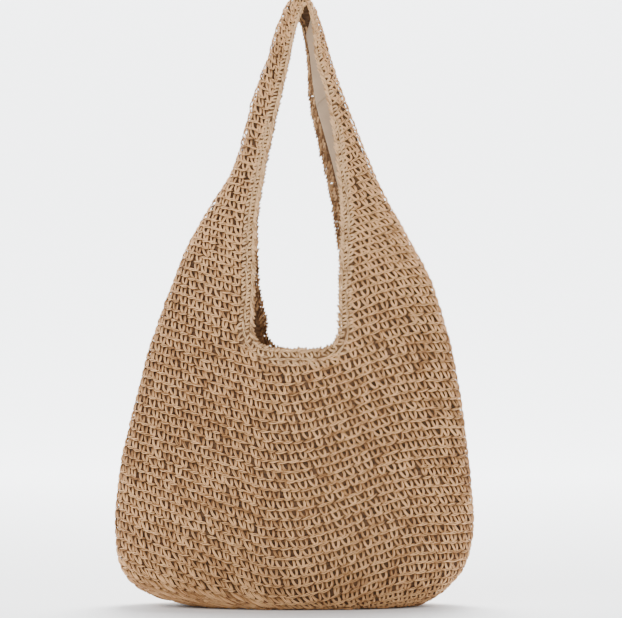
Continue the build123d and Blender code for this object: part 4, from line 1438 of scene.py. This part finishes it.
def make_snap_patches():
    low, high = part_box("snap_patches")
    limits = low.x / MM, high.x / MM, low.z / MM, high.z / MM
    builder = Builder()
    for face, y in ((FRONT, low.y), (BACK, high.y)):
        outer, inner = flat_sheet(*limits, y / MM, -face * 0.8, corner=2.5)
        outer, inner = outer[:, ::-face], inner[:, ::-face]
        slab(builder, outer, inner, 0, False)
        rim = np.concatenate([inner[::-1, 2], inner[2, 2:-2], inner[:, -3], inner[-3, 2:-2][::-1]])
        seam(builder, rim - face * np.array([0, 0.15, 0]), face * TO_FRONT)
    declare(
        builder.finish("snap_patch_pair", [PATCH, THREAD]), "patch_cloth", "snap_patches",
        flat=(0.064, 0.031), held="stretched", rests_on=["lining_panel_front", "lining_panel_back"],
    )


def colour_metal():
    for name in ("zip_slider", "zip_pull", "zip_end_stops", "snap_washers", "snap_socket", "snap_stud"):
        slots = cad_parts[name].data.materials
        if len(slots):
            slots[0] = BRASS
        else:
            slots.append(BRASS)


for make in (
    make_tube, make_sides, make_base, make_edging, make_join_stitches, make_lining_walls, make_lining_base,
    make_band_linings, make_slip_pocket, make_zip_pocket, make_coil, make_snap_patches, colour_metal,
):
    make()


# ---- Stage, lights and camera ----
BACKDROP_GLOW = {"From_Min": 0.1, "From_Max": 3.0, "To_Min": 0.0, "To_Max": 3.3}  # its rise along Y
STAGE_HALF, STAGE_NEAR, STAGE_TOP = 10.0, -5.0, 8.5
BEND_Y, BEND_RADIUS = 2.6, 1.4  # where and how the floor curves up


def make_stage():
    """A pale floor that curves up into a backdrop."""
    look = Look("pale_backdrop")
    look.inputs["Base Color"].default_value = (0.86, 0.865, 0.87, 1)
    look.inputs["Roughness"].default_value = 0.8
    look.inputs["Emission Color"].default_value = (0.95, 0.975, 1.0, 1)
    place = look.texture("ShaderNodeSeparateXYZ", look.place(), "Y")
    look.spread(place, "Emission Strength", interpolation_type="SMOOTHSTEP", **BACKDROP_GLOW)
    turn = np.linspace(0, math.pi / 2, 25)
    y = np.concatenate([[STAGE_NEAR, 0.6], BEND_Y + BEND_RADIUS * np.sin(turn), [BEND_Y + BEND_RADIUS]])
    z = np.concatenate([[0, 0], BEND_RADIUS - BEND_RADIUS * np.cos(turn), [STAGE_TOP]])
    points = [(x, float(b), float(c)) for b, c in zip(y, z) for x in (-STAGE_HALF, STAGE_HALF)]
    faces = [(2 * n, 2 * n + 1, 2 * n + 3, 2 * n + 2) for n in range(len(y) - 1)]
    mesh = bpy.data.meshes.new("backdrop")
    mesh.from_pydata(points, [], faces)
    for polygon in mesh.polygons:
        polygon.use_smooth = True
    mesh.materials.append(look.material)
    backdrop = bpy.data.objects.new("backdrop", mesh)
    bpy.context.scene.collection.objects.link(backdrop)


def area_light(name, place, size, power, target=(0, 0, 0.3)):
    data = bpy.data.lights.new(name, "AREA")
    data.size = size
    data.energy = power
    obj = bpy.data.objects.new(name, data)
    obj.location = place
    obj.rotation_euler = (Vector(target) - Vector(place)).to_track_quat("-Z", "Y").to_euler()
    bpy.context.scene.collection.objects.link(obj)


def make_lights():
    world = bpy.data.worlds.new("studio")
    world.use_nodes = True
    world.node_tree.nodes["Background"].inputs["Color"].default_value = (0.95, 0.97, 1.0, 1)
    world.node_tree.nodes["Background"].inputs["Strength"].default_value = 0.66
    bpy.context.scene.world = world
    area_light("key", (-1.1, -1.6, 2.0), 1.4, 35)
    area_light("fill", (1.6, -1.8, 1.2), 1.8, 9)
    area_light("top", (0.1, 0.75, 2.3), 1.2, 155)


CAMERA_DISTANCE = 2.3
CAMERA_Z = 0.26
PICTURE_MIDDLE_Z = 0.3135  # height of the picture's middle at the bag
PICTURE_WIDTH = 0.658  # how much of the bag's plane the picture spans


def make_camera():
    data = bpy.data.cameras.new("camera")
    data.sensor_width = 36.0
    data.lens = 36.0 * CAMERA_DISTANCE / PICTURE_WIDTH
    data.shift_y = (PICTURE_MIDDLE_Z - CAMERA_Z) / PICTURE_WIDTH
    camera = bpy.data.objects.new("camera", data)
    camera.location = (0.017, -CAMERA_DISTANCE, CAMERA_Z)
    camera.rotation_euler = (math.pi / 2, 0, 0)
    bpy.context.scene.collection.objects.link(camera)
    bpy.context.scene.camera = camera


make_stage()
make_lights()
make_camera()
